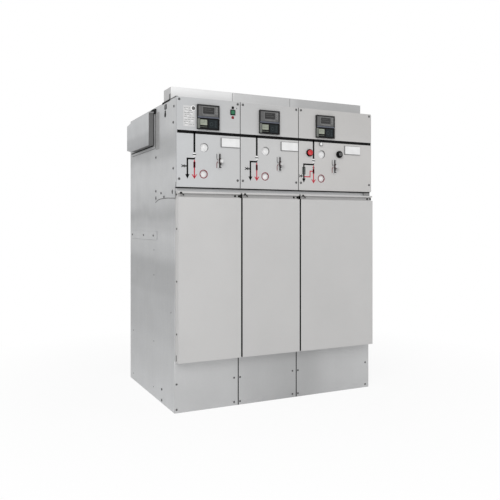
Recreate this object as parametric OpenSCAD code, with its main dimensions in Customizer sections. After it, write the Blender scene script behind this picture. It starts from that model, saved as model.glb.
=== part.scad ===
// Compact medium-voltage switchgear: a floor-standing block of three panels side by side,
// two ring-main feeders and one transformer feeder with fuses, with a wireway on top.
// The origin is at floor level, at the centre of the four floor-fixing holes.
// +Z is up, the front faces -Y and +X is to the right of someone facing the front.

/* [Cabinet] */
// Width of each ring-main feeder panel
feeder_w = 310; // [255:1:400]
// Width of the transformer feeder panel
transformer_w = 430; // [355:1:520]
// Depth from the plinth covers to the rear wall
cabinet_d = 735; // [610:1:900]
// Height of the cabinet without the wireway
cabinet_h = 1400; // [1160:1:1700]
// Thickness of the sheet-steel walls and covers
sheet = 2; // [1.5:0.5:3]
// Width of the flanges behind the front covers
flange_w = 25; // [15:1:40]
// Height of the rail across the front, behind the joint of covers and plates
rail_h = 90; // [70:1:120]
// How far that rail reaches down behind the cable compartment covers
rail_lap = 35; // [20:1:45]
// Depth of the operating-mechanism space in front of the gas vessel
mechanism_d = 150; // [110:1:200]
// Height of the gas vessel
vessel_h = 390; // [300:1:500]
// Free height between the gas vessel and the roof
vessel_drop = 12; // [4:1:40]

/* [Floor frame] */
// Width of the angle's leg that lies on the floor
angle_w = 60; // [50:1:80]
// Height of the angle's upright leg
angle_h = 40; // [25:1:60]
// Thickness of the angle
angle_t = 4; // [3:0.5:6]
// Diameter of the floor-fixing holes
fixing_d = 11; // [9:0.5:14]
// Distance of the fixing holes from the cabinet's outer faces
fixing_inset = 35; // [28:1:42]

/* [Front covers] */
// Height of the plinth covers
plinth_h = 228; // [150:1:300]
// How far the cable compartment covers stand in front of the plinth
cover_proud = 40; // [25:1:60]
// Gap between two cable compartment covers
cover_gap = 8; // [4:1:14]
// Height of the free joint between the covers and the plates above
joint_h = 20; // [10:1:40]
// Height of the rolled lip along a cover's top edge
lip_h = 8; // [6:1:14]
// How far the lip is set back from the cover's face
lip_set = 3; // [1:0.5:6]
// Height of the grip groove under the lip
groove_h = 17; // [12:1:30]
// Depth of the grip groove
groove_d = 14; // [8:1:24]
// Height of the mechanism front plates
plate_h = 398; // [380:1:450]
// How far the mechanism front plates stand in front of the plinth
plate_proud = 22; // [12:1:36]
// Gap between two neighbouring plates or plinth covers
seam = 2; // [1:0.5:4]

/* [Instruments] */
// Width of the instrument bezels
bezel_w = 107; // [100:1:116]
// Height of the fault indicator's bezel
indicator_h = 60; // [50:1:64]
// Height of the voltage detector's bezel
detector_h = 50; // [44:1:56]
// How far the bezels stand in front of the plate
bezel_proud = 9; // [5:1:16]
// Depth of the instrument housings behind the plate
housing_d = 70; // [40:1:90]
// Depth of the recess in front of the instrument faces
face_recess = 2; // [1:0.5:4]
// Width by which the bezels cover the edges of their cut-outs
bezel_rim = 7; // [4:0.5:10]
// Width of the feeder label holders
label_w = 95; // [60:1:100]
// Height of the feeder label holders
label_h = 43; // [25:1:45]
// Thickness of the feeder label holders
label_t = 3; // [2:0.5:5]
// Thickness of the nameplate
name_t = 0.5; // [0.5:0.5:2]

/* [Controls] */
// Radius of the hole for the upper lever socket, which works the load switch
load_r = 20; // [16:0.5:22]
// Radius of the hole for the lower lever socket, which works the earthing switch
earth_r = 18.5; // [16:0.5:22]
// Wall thickness of a lever socket
socket_wall = 1.6; // [1.5:0.1:4]
// Depth of a lever socket in front of its shutter
socket_d = 12; // [8:1:20]
// How far each control gate knob slides up or down from its middle place
gate_travel = 25; // [15:1:28]
// Width of the control gate's slot
gate_slot_w = 7.5; // [5:0.5:9]
// Height of the knob's stem in the slot
stem_h = 10; // [6:1:14]
// Width of the guide's rim around the slot
guide_rim = 4.5; // [3:0.5:8]
// Thickness of the control gate's guide
guide_t = 3; // [2:0.5:5]
// Width of the control gate's knob
knob_w = 17; // [11:1:20]
// How far the knob sits to the right of its slot
knob_shift = 3; // [0:0.5:4]
// Height of the control gate's knob
knob_h = 24; // [12:1:28]
// How far the knob stands in front of its guide
knob_d = 14; // [8:1:20]
// Radius of the two push buttons
button_r = 13.5; // [11:0.5:16]
// How far a push button moves in when it is pressed
button_stroke = 6; // [3:0.5:8]
// Thickness of the wall of a push button's collar
collar_w = 3.5; // [2:0.5:6]
// How far the collars stand in front of the plate
collar_proud = 8; // [4:1:14]

/* [Indicators] */
// Radius of the round switch position windows
window_r = 8; // [6:0.5:10]
// Width and height of the square gas pressure indicator
pressure_w = 25; // [20:1:30]
// Depth of the gauges behind the round indicators
gauge_d = 14; // [8:1:40]
// Radius of the round trip indicator
trip_r = 9.5; // [8:0.5:12]
// How far the trip indicator stands in front of the plate
trip_proud = 7; // [2:1:10]
// Width of the nameplate
name_w = 56; // [40:1:60]
// Height of the nameplate
name_h = 93; // [50:1:97]

/* [Places on the front plates] */
// Instruments: distance from the panel's left edge
unit_x = 96; // [90:1:110]
// Instruments: drop from the cabinet's top
unit_drop = 28; // [15:1:32]
// Switch symbol of the diagram: distance from the panel's left edge
mimic_x = 85; // [70:1:95]
// Switch symbol of the diagram: drop from the cabinet's top
window_drop = 253; // [245:1:265]
// Upper lever socket: distance from the panel's left edge
load_x = 132; // [122:1:150]
// Upper lever socket: drop from the cabinet's top
load_drop = 219; // [210:1:230]
// Lower lever socket: distance from the panel's left edge
earth_x = 129; // [122:1:150]
// Lower lever socket: drop from the cabinet's top
earth_drop = 338; // [320:1:345]
// Control gate: distance from the panel's left edge
gate_x = 207; // [195:1:215]
// Control gate: drop of its middle place from the cabinet's top
gate_drop = 276; // [270:1:300]
// Feeder labels: drop of their top edge from the cabinet's top
label_drop = 170; // [165:1:180]
// Feeder labels: distance from a ring-main panel's right edge
label_margin = 3; // [2:1:20]
// Feeder label of the transformer panel: distance from the panel's right edge
label_margin_wide = 70; // [50:1:80]
// Pressure indicator: distance of its centre from the panel's right edge
pressure_margin = 38; // [30:1:42]
// Pressure indicator: drop of its centre from the cabinet's top
pressure_drop = 51; // [40:1:60]
// Trip indicator: distance from the panel's left edge
trip_x = 126; // [120:1:140]
// Trip indicator: drop from the cabinet's top
trip_drop = 169; // [166:1:175]
// Red push button: distance from the panel's left edge
red_x = 61; // [40:1:64]
// Black push button: distance from the panel's left edge
black_x = 234; // [230:1:240]
// Push buttons: drop from the cabinet's top
button_drop = 215; // [212:1:230]
// Nameplate: distance from the panel's left edge
name_x = 32; // [20:1:36]
// Nameplate: drop of its top edge from the cabinet's top
name_drop = 37; // [25:1:45]

/* [Wireway] */
// Depth of the wireway on the roof
wireway_d = 102; // [60:1:120]
// Height of the wireway on the roof
wireway_h = 60; // [45:1:80]
// Distance of the wireway behind the plinth covers
wireway_set = 64; // [40:1:100]
// Distance of the wireway's ends from the cabinet's sides
wireway_inset = 5; // [0:1:20]
// Thickness of the wireway's sheet
wire_t = 1.5; // [1:0.5:2]
// Width of the wire slots in the wireway's ends
wire_slot_w = 8; // [5:1:12]
// Height of the wire slots in the wireway's ends
wire_slot_h = 24; // [12:1:28]
// Distance of the wire slots from the wireway's front
wire_slot_set = 7; // [4:1:16]
// Height of the wire slots above the roof
wire_slot_rise = 4; // [3:1:12]

/* [Side covers] */
// Length of the busbar end cover
end_cover_l = 399; // [300:1:440]
// Height of the busbar end cover
end_cover_h = 160; // [120:1:170]
// How far the busbar end cover stands out from its flange
end_cover_d = 27; // [12:1:40]
// Distance of the busbar end cover from the rear
end_cover_set = 38; // [5:1:50]
// Drop of the busbar end cover from the cabinet's top
end_cover_drop = 21; // [8:1:40]
// Height of the end cover's taper at its rear end, above and below
end_taper_h = 14; // [5:1:30]
// Length of the upper taper
end_taper_top = 137; // [40:1:160]
// Length of the lower taper
end_taper_low = 78; // [40:1:160]
// How far the end cover's flange reaches out in front
end_rim_front = 22; // [10:1:40]
// How far the end cover's flange reaches out below
end_rim_low = 15; // [5:1:30]
// How far the end cover's flange reaches out above
end_rim_top = 4; // [2:1:6]
// Thickness of the end cover's flange
end_rim_t = 3; // [2:0.5:5]
// Length of the stiffening strips on the side walls
strip_l = 440; // [300:1:500]
// Height of the stiffening strips
strip_h = 41; // [25:1:60]
// Thickness of the stiffening strips
strip_t = 3; // [2:0.5:5]
// Distance of the stiffening strips from the rear
strip_set = 40; // [20:1:80]
// Height of the stiffening strips above the floor
strip_z = 762; // [600:1:800]

/* [Clearances] */
// Gap around a moving piece that slides in its guide
run = 0.6; // [0.3:0.1:1]
// Gap around a fixed piece in its cut-out
fit = 0.3; // [0.1:0.1:0.6]
// Gap between the two instruments
unit_gap = 0.6; // [0.3:0.1:2]
// Free travel left at each end of the control gate's slot
gate_end = 2; // [0.5:0.5:4]

/* [Hidden] */
$fn = 48;

panel_w = [feeder_w, feeder_w, transformer_w];
cabinet_w = 2 * feeder_w + transformer_w;
x_left = -cabinet_w / 2;
x_right = cabinet_w / 2;
y_front = -cabinet_d / 2;
y_rear = cabinet_d / 2;
panel_x = [x_left, x_left + feeder_w, x_left + 2 * feeder_w];

// Planes of the front: the plates' faces, the covers' faces, and the flanges behind both
y_plate = y_front - plate_proud;
y_cover = y_front - cover_proud;
y_flange = y_front + sheet;
plate_z = cabinet_h - plate_h;
cover_h = plate_z - joint_h - plinth_h;
rail_z = plate_z - joint_h - rail_lap;
vessel_z = cabinet_h - sheet - vessel_drop - vessel_h;

// Drops of the lower edges of the two instruments
indicator_drop = unit_drop + indicator_h;
detector_drop = indicator_drop + unit_gap + detector_h;
label_margins = [label_margin, label_margin, label_margin_wide];
gate_slot_h = stem_h + 2 * (gate_travel + gate_end);
button_proud = collar_proud + button_stroke;

// Holes behind the small indicators are this much smaller than the indicators
hole_rim = 3;
// Rim of a lever socket and of a push button on the plate's face or back
socket_rim = 2;
button_rim = 2;
rim_t = 2;
// A cut reaches this far past the faces that it opens
over = 1;

cover_grey = [0.77, 0.77, 0.76];
steel_grey = [0.70, 0.71, 0.72];
dark_grey = [0.16, 0.17, 0.18];
white = [0.93, 0.93, 0.92];
signal_red = [0.80, 0.10, 0.12];

// A rod along Y between two planes
module rod(r, y_from, y_to) {
  translate([0, y_to, 0])
    rotate([90, 0, 0])
      cylinder(r = r, h = y_to - y_from);
}

// A shallow box of sheet that is open to the rear
module tray(w, d, h) {
  difference() {
    cube([w, d, h]);
    translate([sheet, sheet, sheet])
      cube([w - 2 * sheet, d, h - 2 * sheet]);
  }
}

// Moves to a place on panel i's front plate: x from the panel's left edge, drop from the top
module on_plate(i, x, drop) {
  translate([panel_x[i] + x, y_plate, cabinet_h - drop])
    children();
}

module side_wall() {
  cube([sheet, cabinet_d - sheet, cabinet_h - sheet]);
  cube([sheet + flange_w, sheet, cabinet_h - sheet]);
}

module left_side_wall() {
  color(steel_grey)
    translate([x_left, y_flange, 0])
      side_wall();
}

module right_side_wall() {
  color(steel_grey)
    translate([x_right, y_flange, 0])
      mirror([1, 0, 0])
        side_wall();
}

module rear_wall() {
  color(steel_grey)
    translate([x_left + sheet, y_rear - sheet, 0])
      cube([cabinet_w - 2 * sheet, sheet, cabinet_h - sheet]);
}

module roof() {
  color(steel_grey)
    translate([x_left, y_flange, cabinet_h - sheet])
      cube([cabinet_w, cabinet_d - sheet, sheet]);
}

// A ring of angle steel with its upright leg outside; it carries the fixing holes
module floor_frame() {
  w = cabinet_w - 2 * sheet;
  d = cabinet_d - 3 * sheet;
  hole_x = cabinet_w / 2 - fixing_inset;
  hole_y = cabinet_d / 2 - fixing_inset;
  color(steel_grey)
    difference() {
      translate([x_left + sheet, y_flange + sheet, 0])
        cube([w, d, angle_h]);
      translate([x_left + sheet + angle_t, y_flange + sheet + angle_t, angle_t])
        cube([w - 2 * angle_t, d - 2 * angle_t, angle_h]);
      translate([x_left + sheet + angle_w, y_flange + sheet + angle_w, -over])
        cube([w - 2 * angle_w, d - 2 * angle_w, angle_h]);
      for (x = [-hole_x, hole_x], y = [-hole_y, hole_y])
        translate([x, y, -over])
          cylinder(d = fixing_d, h = angle_t + 2 * over);
    }
}

// The rail behind the joint of covers and plates, and the rail under the roof
module front_rails() {
  x = x_left + sheet + flange_w;
  w = cabinet_w - 2 * (sheet + flange_w);
  color(steel_grey) {
    translate([x, y_flange, rail_z])
      cube([w, sheet, rail_h]);
    translate([x, y_flange, cabinet_h - sheet - flange_w])
      cube([w, sheet, flange_w]);
  }
}

// Flat posts at the panel seams carry the edges of two neighbouring covers
module front_posts() {
  color(steel_grey)
    for (i = [1, 2])
      translate([panel_x[i] - flange_w, y_flange, 0])
        cube([2 * flange_w, sheet, rail_z]);
}

// Sheets between the cable compartments, from the floor frame to the gas vessel
module partitions() {
  color(steel_grey)
    for (i = [1, 2])
      translate([panel_x[i] - sheet / 2, y_flange + sheet + angle_t, angle_t])
        cube([sheet, cabinet_d - 3 * sheet - 2 * angle_t, vessel_z - angle_t]);
}

module gas_vessel() {
  color(steel_grey)
    translate([x_left + sheet, y_front + mechanism_d, vessel_z])
      cube([cabinet_w - 2 * sheet, cabinet_d - mechanism_d - sheet, vessel_h]);
}

module plinth_cover(i) {
  trim_left = i == 0 ? 0 : seam / 2;
  trim_right = i == 2 ? 0 : seam / 2;
  color(steel_grey)
    translate([panel_x[i] + trim_left, y_front, 0])
      cube([panel_w[i] - trim_left - trim_right, sheet, plinth_h]);
}

// A folded cover with a grip groove and a lip along its top, open to the rear
module cable_cover(i) {
  w = panel_w[i] - cover_gap;
  d = cover_proud + sheet;
  groove_z = cover_h - lip_h - groove_h;
  lip_z = cover_h - lip_h;
  color(cover_grey)
    translate([panel_x[i] + cover_gap / 2, y_cover, plinth_h])
      difference() {
        cube([w, d, cover_h]);
        translate([sheet, sheet, sheet])
          cube([w - 2 * sheet, d, groove_z - 2 * sheet]);
        translate([sheet, groove_d + sheet, groove_z - 2 * sheet])
          cube([w - 2 * sheet, d, groove_h + lip_h + sheet]);
        translate([-over, -over, groove_z])
          cube([w + 2 * over, groove_d + over, groove_h]);
        translate([-over, -over, lip_z - over])
          cube([w + 2 * over, lip_set + over, lip_h + 2 * over]);
      }
}

// The cut-out for an instrument whose bezel has height h and its lower edge at this drop
module unit_cutout(i, drop, h) {
  on_plate(i, unit_x + bezel_rim - fit, drop - bezel_rim + fit)
    translate([0, -over, 0])
      cube([bezel_w - 2 * bezel_rim + 2 * fit, sheet + 2 * over, h - 2 * bezel_rim + 2 * fit]);
}

// A round hole through a front plate
module plate_hole(i, x, drop, r) {
  on_plate(i, x, drop)
    rod(r, -over, sheet + over);
}

module front_plate(i) {
  color(cover_grey)
    difference() {
      translate([panel_x[i] + seam / 2, y_plate, plate_z])
        tray(panel_w[i] - seam, plate_proud + sheet, plate_h);
      unit_cutout(i, indicator_drop, indicator_h);
      unit_cutout(i, detector_drop, detector_h);
      plate_hole(i, load_x, load_drop, load_r);
      plate_hole(i, earth_x, earth_drop, earth_r);
      plate_hole(i, mimic_x, window_drop, window_r - hole_rim + fit);
      on_plate(i, gate_x, gate_drop)
        translate([-gate_slot_w / 2, -over, -gate_slot_h / 2])
          cube([gate_slot_w, sheet + 2 * over, gate_slot_h]);
      if (i == 0)
        plate_hole(0, feeder_w - pressure_margin, pressure_drop, pressure_w / 2 - hole_rim + fit);
      if (i == 2) {
        plate_hole(2, trip_x, trip_drop, trip_r - hole_rim + fit);
        plate_hole(2, red_x, button_drop, button_r + run);
        plate_hole(2, black_x, button_drop, button_r + run);
      }
    }
}

// An instrument housing through the plate, with a bezel and a recessed face in front
module instrument(h) {
  color(dark_grey)
    difference() {
      union() {
        translate([0, -bezel_proud, 0])
          cube([bezel_w, bezel_proud, h]);
        translate([bezel_rim, -over, bezel_rim])
          cube([bezel_w - 2 * bezel_rim, housing_d + over, h - 2 * bezel_rim]);
      }
      translate([bezel_rim / 2, -bezel_proud - over, bezel_rim / 2])
        cube([bezel_w - bezel_rim, face_recess + over, h - bezel_rim]);
    }
}

module fault_indicator(i) {
  on_plate(i, unit_x, indicator_drop)
    instrument(indicator_h);
}

module voltage_detector(i) {
  on_plate(i, unit_x, detector_drop)
    instrument(detector_h);
}

// A cup through a hole of radius r in the plate, with its rim between two planes
module lever_socket(r, rim_from, rim_to) {
  difference() {
    union() {
      rod(r - fit, min(rim_from, 0), socket_d + sheet);
      rod(r + socket_rim, rim_from, rim_to);
    }
    rod(r - fit - socket_wall, -2 * over, socket_d);
  }
}

// The load socket's rim lies behind the plate; the earthing socket's, a coloured ring, in front
module lever_sockets(i) {
  color(white) {
    on_plate(i, load_x, load_drop)
      lever_socket(load_r, sheet, sheet + rim_t);
    on_plate(i, earth_x, earth_drop)
      lever_socket(earth_r, -over, 0);
  }
}

// Round windows in the diagram that show the switch position
module position_indicators() {
  color(white)
    for (i = [0, 1, 2])
      on_plate(i, mimic_x, window_drop) {
        rod(window_r, -over, 0);
        rod(window_r - hole_rim, 0, 3 * sheet);
      }
}

module label_holders() {
  color(white)
    for (i = [0, 1, 2])
      on_plate(i, panel_w[i] - label_margins[i] - label_w, label_drop + label_h)
        translate([0, -label_t, 0])
          cube([label_w, label_t, label_h]);
}

module nameplate() {
  color(white)
    on_plate(0, name_x, name_drop + name_h)
      translate([0, -name_t, 0])
        cube([name_w, name_t, name_h]);
}

// The ready-for-service indicator: a square bezel in front of a round gauge
module pressure_indicator() {
  color(dark_grey)
    on_plate(0, feeder_w - pressure_margin, pressure_drop) {
      translate([-pressure_w / 2, -label_t, -pressure_w / 2])
        cube([pressure_w, label_t, pressure_w]);
      rod(pressure_w / 2 - hole_rim, 0, gauge_d);
    }
}

module trip_indicator() {
  color(white)
    on_plate(2, trip_x, trip_drop) {
      rod(trip_r, -trip_proud, 0);
      rod(trip_r - hole_rim, 0, gauge_d);
    }
}

module gate_guides() {
  w = gate_slot_w + 2 * guide_rim;
  h = gate_slot_h + 2 * guide_rim;
  color(cover_grey)
    for (i = [0, 1, 2])
      on_plate(i, gate_x, gate_drop)
        difference() {
          translate([-w / 2, -guide_t, -h / 2])
            cube([w, guide_t, h]);
          translate([-gate_slot_w / 2, -guide_t - over, -gate_slot_h / 2])
            cube([gate_slot_w, guide_t + 2 * over, gate_slot_h]);
        }
}

// A knob in front of the guide, and a stem through the slot to a keeper behind the plate
module gate_knob(i) {
  stem_w = gate_slot_w - 2 * run;
  color(dark_grey)
    on_plate(i, gate_x, gate_drop) {
      translate([knob_shift - knob_w / 2, -guide_t - run - knob_d, -knob_h / 2])
        cube([knob_w, knob_d, knob_h]);
      translate([-stem_w / 2, -guide_t - run - over, -stem_h / 2])
        cube([stem_w, over + run + guide_t + sheet + run + rim_t, stem_h]);
      translate([-knob_w / 2, sheet + run, -stem_h / 2])
        cube([knob_w, rim_t, stem_h]);
    }
}

module button_collars() {
  color(dark_grey)
    for (x = [red_x, black_x])
      on_plate(2, x, button_drop)
        difference() {
          rod(button_r + run + collar_w, -collar_proud, 0);
          rod(button_r + run, -collar_proud - over, over);
        }
}

// A round cap through the collar and the plate, held by a rim behind the plate
module push_button(x) {
  on_plate(2, x, button_drop) {
    rod(button_r, -button_proud, sheet + run + rim_t);
    rod(button_r + button_rim, sheet + run, sheet + run + rim_t);
  }
}

module red_button() {
  color(signal_red)
    push_button(red_x);
}

module black_button() {
  color(dark_grey)
    push_button(black_x);
}

// A folded channel with closed ends; the slots in the ends let wires through
module wireway_channel() {
  l = cabinet_w - 2 * wireway_inset;
  h = wireway_h - wire_t;
  color(cover_grey)
    translate([x_left + wireway_inset, y_front + wireway_set, cabinet_h])
      difference() {
        cube([l, wireway_d, h]);
        translate([wire_t, wire_t, wire_t])
          cube([l - 2 * wire_t, wireway_d - 2 * wire_t, h]);
        translate([-over, wire_slot_set, wire_slot_rise])
          cube([l + 2 * over, wire_slot_w, wire_slot_h]);
      }
}

// One lid for each panel, with small gaps at the seams
module wireway_lids() {
  color(cover_grey)
    for (i = [0, 1, 2]) {
      trim_left = i == 0 ? wireway_inset : seam / 2;
      trim_right = i == 2 ? wireway_inset : seam / 2;
      translate([panel_x[i] + trim_left, y_front + wireway_set, cabinet_h + wireway_h - wire_t])
        cube([panel_w[i] - trim_left - trim_right, wireway_d, wire_t]);
    }
}

// The outline of the busbar end cover, as (distance from its rear end, height)
module end_cover_outline() {
  polygon([
    [0, end_taper_h],
    [end_taper_low, 0],
    [end_cover_l, 0],
    [end_cover_l, end_cover_h],
    [end_taper_top, end_cover_h],
    [0, end_cover_h - end_taper_h]
  ]);
}

// Stands an outline drawn as (distance from the rear, height) on the left side wall
module on_left_wall(x, thickness) {
  translate([x, y_rear - end_cover_set, cabinet_h - end_cover_drop - end_cover_h])
    rotate([90, 0, -90])
      linear_extrude(height = thickness)
        children();
}

module end_cover() {
  color(steel_grey)
    on_left_wall(x_left - end_rim_t, end_cover_d)
      end_cover_outline();
}

// The mounting flange of the end cover, a little larger in front and below
module end_cover_flange() {
  color(steel_grey)
    on_left_wall(x_left, end_rim_t)
      translate([0, -end_rim_low])
        square([end_cover_l + end_rim_front, end_cover_h + end_rim_low + end_rim_top]);
}

// Stiffening strips across the side walls
module side_strips() {
  color(steel_grey)
    for (side = [-1, 1])
      translate([side * (cabinet_w + strip_t) / 2, y_rear - strip_set - strip_l / 2, strip_z + strip_h / 2])
        cube([strip_t, strip_l, strip_h], center = true);
}

left_side_wall();
right_side_wall();
rear_wall();
roof();
floor_frame();
front_rails();
front_posts();
partitions();
gas_vessel();
plinth_cover(0);  // plinth_cover_1
plinth_cover(1);  // plinth_cover_2
plinth_cover(2);  // plinth_cover_3
cable_cover(0);  // cable_cover_1
cable_cover(1);  // cable_cover_2
cable_cover(2);  // cable_cover_3
front_plate(0);  // front_plate_1
front_plate(1);  // front_plate_2
front_plate(2);  // front_plate_3
wireway_channel();
wireway_lids();
end_cover_flange();
end_cover();
side_strips();
fault_indicator(0);  // fault_indicator_1
fault_indicator(1);  // fault_indicator_2
fault_indicator(2);  // fault_indicator_3
voltage_detector(0);  // voltage_detector_1
voltage_detector(1);  // voltage_detector_2
voltage_detector(2);  // voltage_detector_3
lever_sockets(0);  // lever_sockets_1
lever_sockets(1);  // lever_sockets_2
lever_sockets(2);  // lever_sockets_3
position_indicators();
label_holders();
nameplate();
pressure_indicator();
trip_indicator();
gate_guides();
gate_knob(0);  // gate_knob_1
gate_knob(1);  // gate_knob_2
gate_knob(2);  // gate_knob_3
button_collars();
red_button();
black_button();
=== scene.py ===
"""The looks of a compact switchgear block: three joined panels on one floor frame.

Shapes are drawn in millimetres and placed in metres. A place on a front plate is a distance
from the panel's left edge and a height above the floor; a place on a side wall is a distance
behind the plinth's face and a height above the floor.
"""

import math

import bmesh
import bpy
from mathutils import Matrix, Vector


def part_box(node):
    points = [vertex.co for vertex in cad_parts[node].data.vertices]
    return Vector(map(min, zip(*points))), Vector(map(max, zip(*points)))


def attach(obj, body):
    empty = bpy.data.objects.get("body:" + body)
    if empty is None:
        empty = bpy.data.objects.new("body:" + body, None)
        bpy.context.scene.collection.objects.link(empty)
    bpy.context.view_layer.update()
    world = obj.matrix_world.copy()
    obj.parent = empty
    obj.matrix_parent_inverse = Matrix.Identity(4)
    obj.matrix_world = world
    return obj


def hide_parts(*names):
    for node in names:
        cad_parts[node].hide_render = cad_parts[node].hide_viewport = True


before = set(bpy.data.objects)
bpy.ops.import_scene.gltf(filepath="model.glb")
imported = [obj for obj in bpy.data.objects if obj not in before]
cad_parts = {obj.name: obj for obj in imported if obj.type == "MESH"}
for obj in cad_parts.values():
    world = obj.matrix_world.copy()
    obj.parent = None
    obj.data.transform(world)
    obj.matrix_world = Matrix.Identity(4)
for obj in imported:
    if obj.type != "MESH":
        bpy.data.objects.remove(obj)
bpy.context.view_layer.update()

MM = 0.001
PANELS = (1, 2, 3)
# Depth of the covers' grip groove, and width of the rim of a gate guide around its slot
GROOVE = 14
GUIDE_RIM = 4.5
# Half the block's width over its side walls, and the height of its roof, in metres
HALF_WIDTH = 0.525
ROOF_HEIGHT = 1.4
FRONT = Vector((0, -1, 0))
REAR = Vector((0, 1, 0))
LEFT = Vector((-1, 0, 0))
RIGHT = Vector((1, 0, 0))
UP = Vector((0, 0, 1))


# ---------------------------------------------------------------- finishes

def linear(value):
    """A display value from 0 to 1 as a light value."""
    return value / 12.92 if value <= 0.04045 else ((value + 0.055) / 1.055) ** 2.4


def colour(red, green, blue):
    return (linear(red), linear(green), linear(blue), 1.0)


def grey(value, warmth=0.0):
    return colour(value + warmth, value, value - warmth)


class Finish:
    """A material whose patterns lie on the piece's own coordinates, with sizes in millimetres."""

    def __init__(self, name, **constants):
        self.material = bpy.data.materials.new(name)
        self.material.use_nodes = True
        self.nodes = self.material.node_tree.nodes
        self.shader = self.nodes["Principled BSDF"]
        self.place = self.nodes.new("ShaderNodeTexCoord").outputs["Object"]
        self.normal = None
        for socket, value in constants.items():
            self.shader.inputs[socket.replace("_", " ")].default_value = value

    def link(self, output, node_input):
        self.material.node_tree.links.new(output, node_input)

    def stretched(self, x, y, z):
        """The piece's coordinates, with a pattern drawn out that many times along each axis."""
        node = self.nodes.new("ShaderNodeMapping")
        node.inputs["Scale"].default_value = (1 / x, 1 / y, 1 / z)
        self.link(self.place, node.inputs["Vector"])
        return node.outputs["Vector"]

    def noise(self, size, detail=2.0, place=None):
        node = self.nodes.new("ShaderNodeTexNoise")
        node.inputs["Scale"].default_value = 1 / (size * MM)
        node.inputs["Detail"].default_value = detail
        self.link(place or self.place, node.inputs["Vector"])
        return node.outputs["Fac"]

    def cells(self, size, place=None):
        """One random value for each crystal of a spangle."""
        node = self.nodes.new("ShaderNodeTexVoronoi")
        node.inputs["Scale"].default_value = 1 / (size * MM)
        self.link(place or self.place, node.inputs["Vector"])
        split = self.nodes.new("ShaderNodeSeparateColor")
        self.link(node.outputs["Color"], split.inputs["Color"])
        return split.outputs["Red"]

    def along(self, axis):
        """The piece's coordinate along X, Y or Z, in metres."""
        node = self.nodes.new("ShaderNodeSeparateXYZ")
        self.link(self.place, node.inputs["Vector"])
        return node.outputs[axis]

    def spread(self, value, low, high, start=0.0, end=1.0):
        """Maps a value from start..end to low..high."""
        node = self.nodes.new("ShaderNodeMapRange")
        for socket, number in zip(("From Min", "From Max", "To Min", "To Max"), (start, end, low, high)):
            node.inputs[socket].default_value = number
        self.link(value, node.inputs["Value"])
        return node.outputs["Result"]

    def ramp(self, value, stops, smooth="EASE"):
        """Colours along a value; stops is a list of (value, colour)."""
        node = self.nodes.new("ShaderNodeValToRGB")
        node.color_ramp.interpolation = smooth
        elements = node.color_ramp.elements
        while len(elements) < len(stops):
            elements.new(0.5)
        for element, (position, shade) in zip(elements, stops):
            element.position = position
            element.color = shade
        self.link(value, node.inputs["Fac"])
        return node.outputs["Color"]

    def patches(self, size, low, detail=3.0, place=None):
        """Soft patches between a share of the colour and the whole of it."""
        return self.ramp(self.noise(size, detail, place), [(0.3, grey(low)), (0.7, grey(1.0))])

    def times(self, first, second, share=1.0):
        """One colour multiplied by another."""
        node = self.nodes.new("ShaderNodeMixRGB")
        node.blend_type = "MULTIPLY"
        for socket, value in zip(("Fac", "Color1", "Color2"), (share, first, second)):
            if isinstance(value, bpy.types.NodeSocket):
                self.link(value, node.inputs[socket])
            else:
                node.inputs[socket].default_value = value
        return node.outputs["Color"]

    def sum(self, first, second):
        node = self.nodes.new("ShaderNodeMath")
        self.link(first, node.inputs[0])
        self.link(second, node.inputs[1])
        return node.outputs[0]

    def base(self, shade):
        self.link(shade, self.shader.inputs["Base Color"])

    def rough(self, value, low, high):
        self.link(self.spread(value, low, high, 0.3, 0.7), self.shader.inputs["Roughness"])

    def bump(self, height, depth):
        """Adds relief of that depth in millimetres."""
        node = self.nodes.new("ShaderNodeBump")
        node.inputs["Distance"].default_value = depth * MM
        self.link(height, node.inputs["Height"])
        if self.normal:
            self.link(self.normal, node.inputs["Normal"])
        self.normal = node.outputs["Normal"]
        self.link(self.normal, self.shader.inputs["Normal"])


def plain(value, warmth=0.0):
    """The same colour all over, as the start of a finish."""
    return lambda finish: grey(value, warmth)


def powder_coat(name, shade, low=0.42, high=0.56):
    """Satin powder coat: orange peel, a fine speckle and a faint cloudiness."""
    paint = Finish(name, IOR=1.45)
    tone = paint.times(shade(paint), paint.patches(260, 0.985))
    paint.base(paint.times(tone, paint.patches(0.9, 0.97, 2)))
    paint.rough(paint.noise(70, 4), low, high)
    paint.bump(paint.noise(1.6, 2), 0.03)
    paint.bump(paint.noise(0.35, 1), 0.006)
    return paint.material


def coated_sheet(name, shade, metallic=0.45, streaks=0.985, contrast=0.965):
    """Aluminium-zinc coated sheet: a fine spangle, faint rolling streaks and soft stains."""
    zinc = Finish(name, Metallic=metallic)
    fine = zinc.cells(2.2)
    spangle = zinc.sum(zinc.spread(zinc.cells(5), 0.0, 0.5), zinc.spread(fine, 0.0, 0.5))
    crystal = zinc.ramp(spangle, [(0.0, grey(contrast)), (1.0, grey(1.0))], "LINEAR")
    tone = zinc.times(shade(zinc), crystal)
    tone = zinc.times(tone, zinc.patches(9, streaks, 3, zinc.stretched(1, 1, 40)))
    zinc.base(zinc.times(tone, zinc.patches(120, 0.98, 2)))
    zinc.rough(zinc.noise(60, 3), 0.36, 0.5)
    zinc.bump(spangle, 0.01)
    zinc.bump(zinc.noise(0.5, 2), 0.006)
    return zinc.material


def moulded(name, shade, low, high, grain=0.02, gloss=0.5, coat=0.0):
    """Moulded plastic with a fine spark-eroded grain."""
    plastic = Finish(name, IOR=1.5, Specular_IOR_Level=gloss, Coat_Weight=coat, Coat_Roughness=0.15)
    cloudy = plastic.times(shade, plastic.patches(18, 0.94))
    plastic.base(plastic.times(cloudy, plastic.patches(0.6, 0.95, 2)))
    plastic.rough(plastic.noise(12, 3), low, high)
    plastic.bump(plastic.noise(0.4, 2), grain)
    return plastic.material


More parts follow.
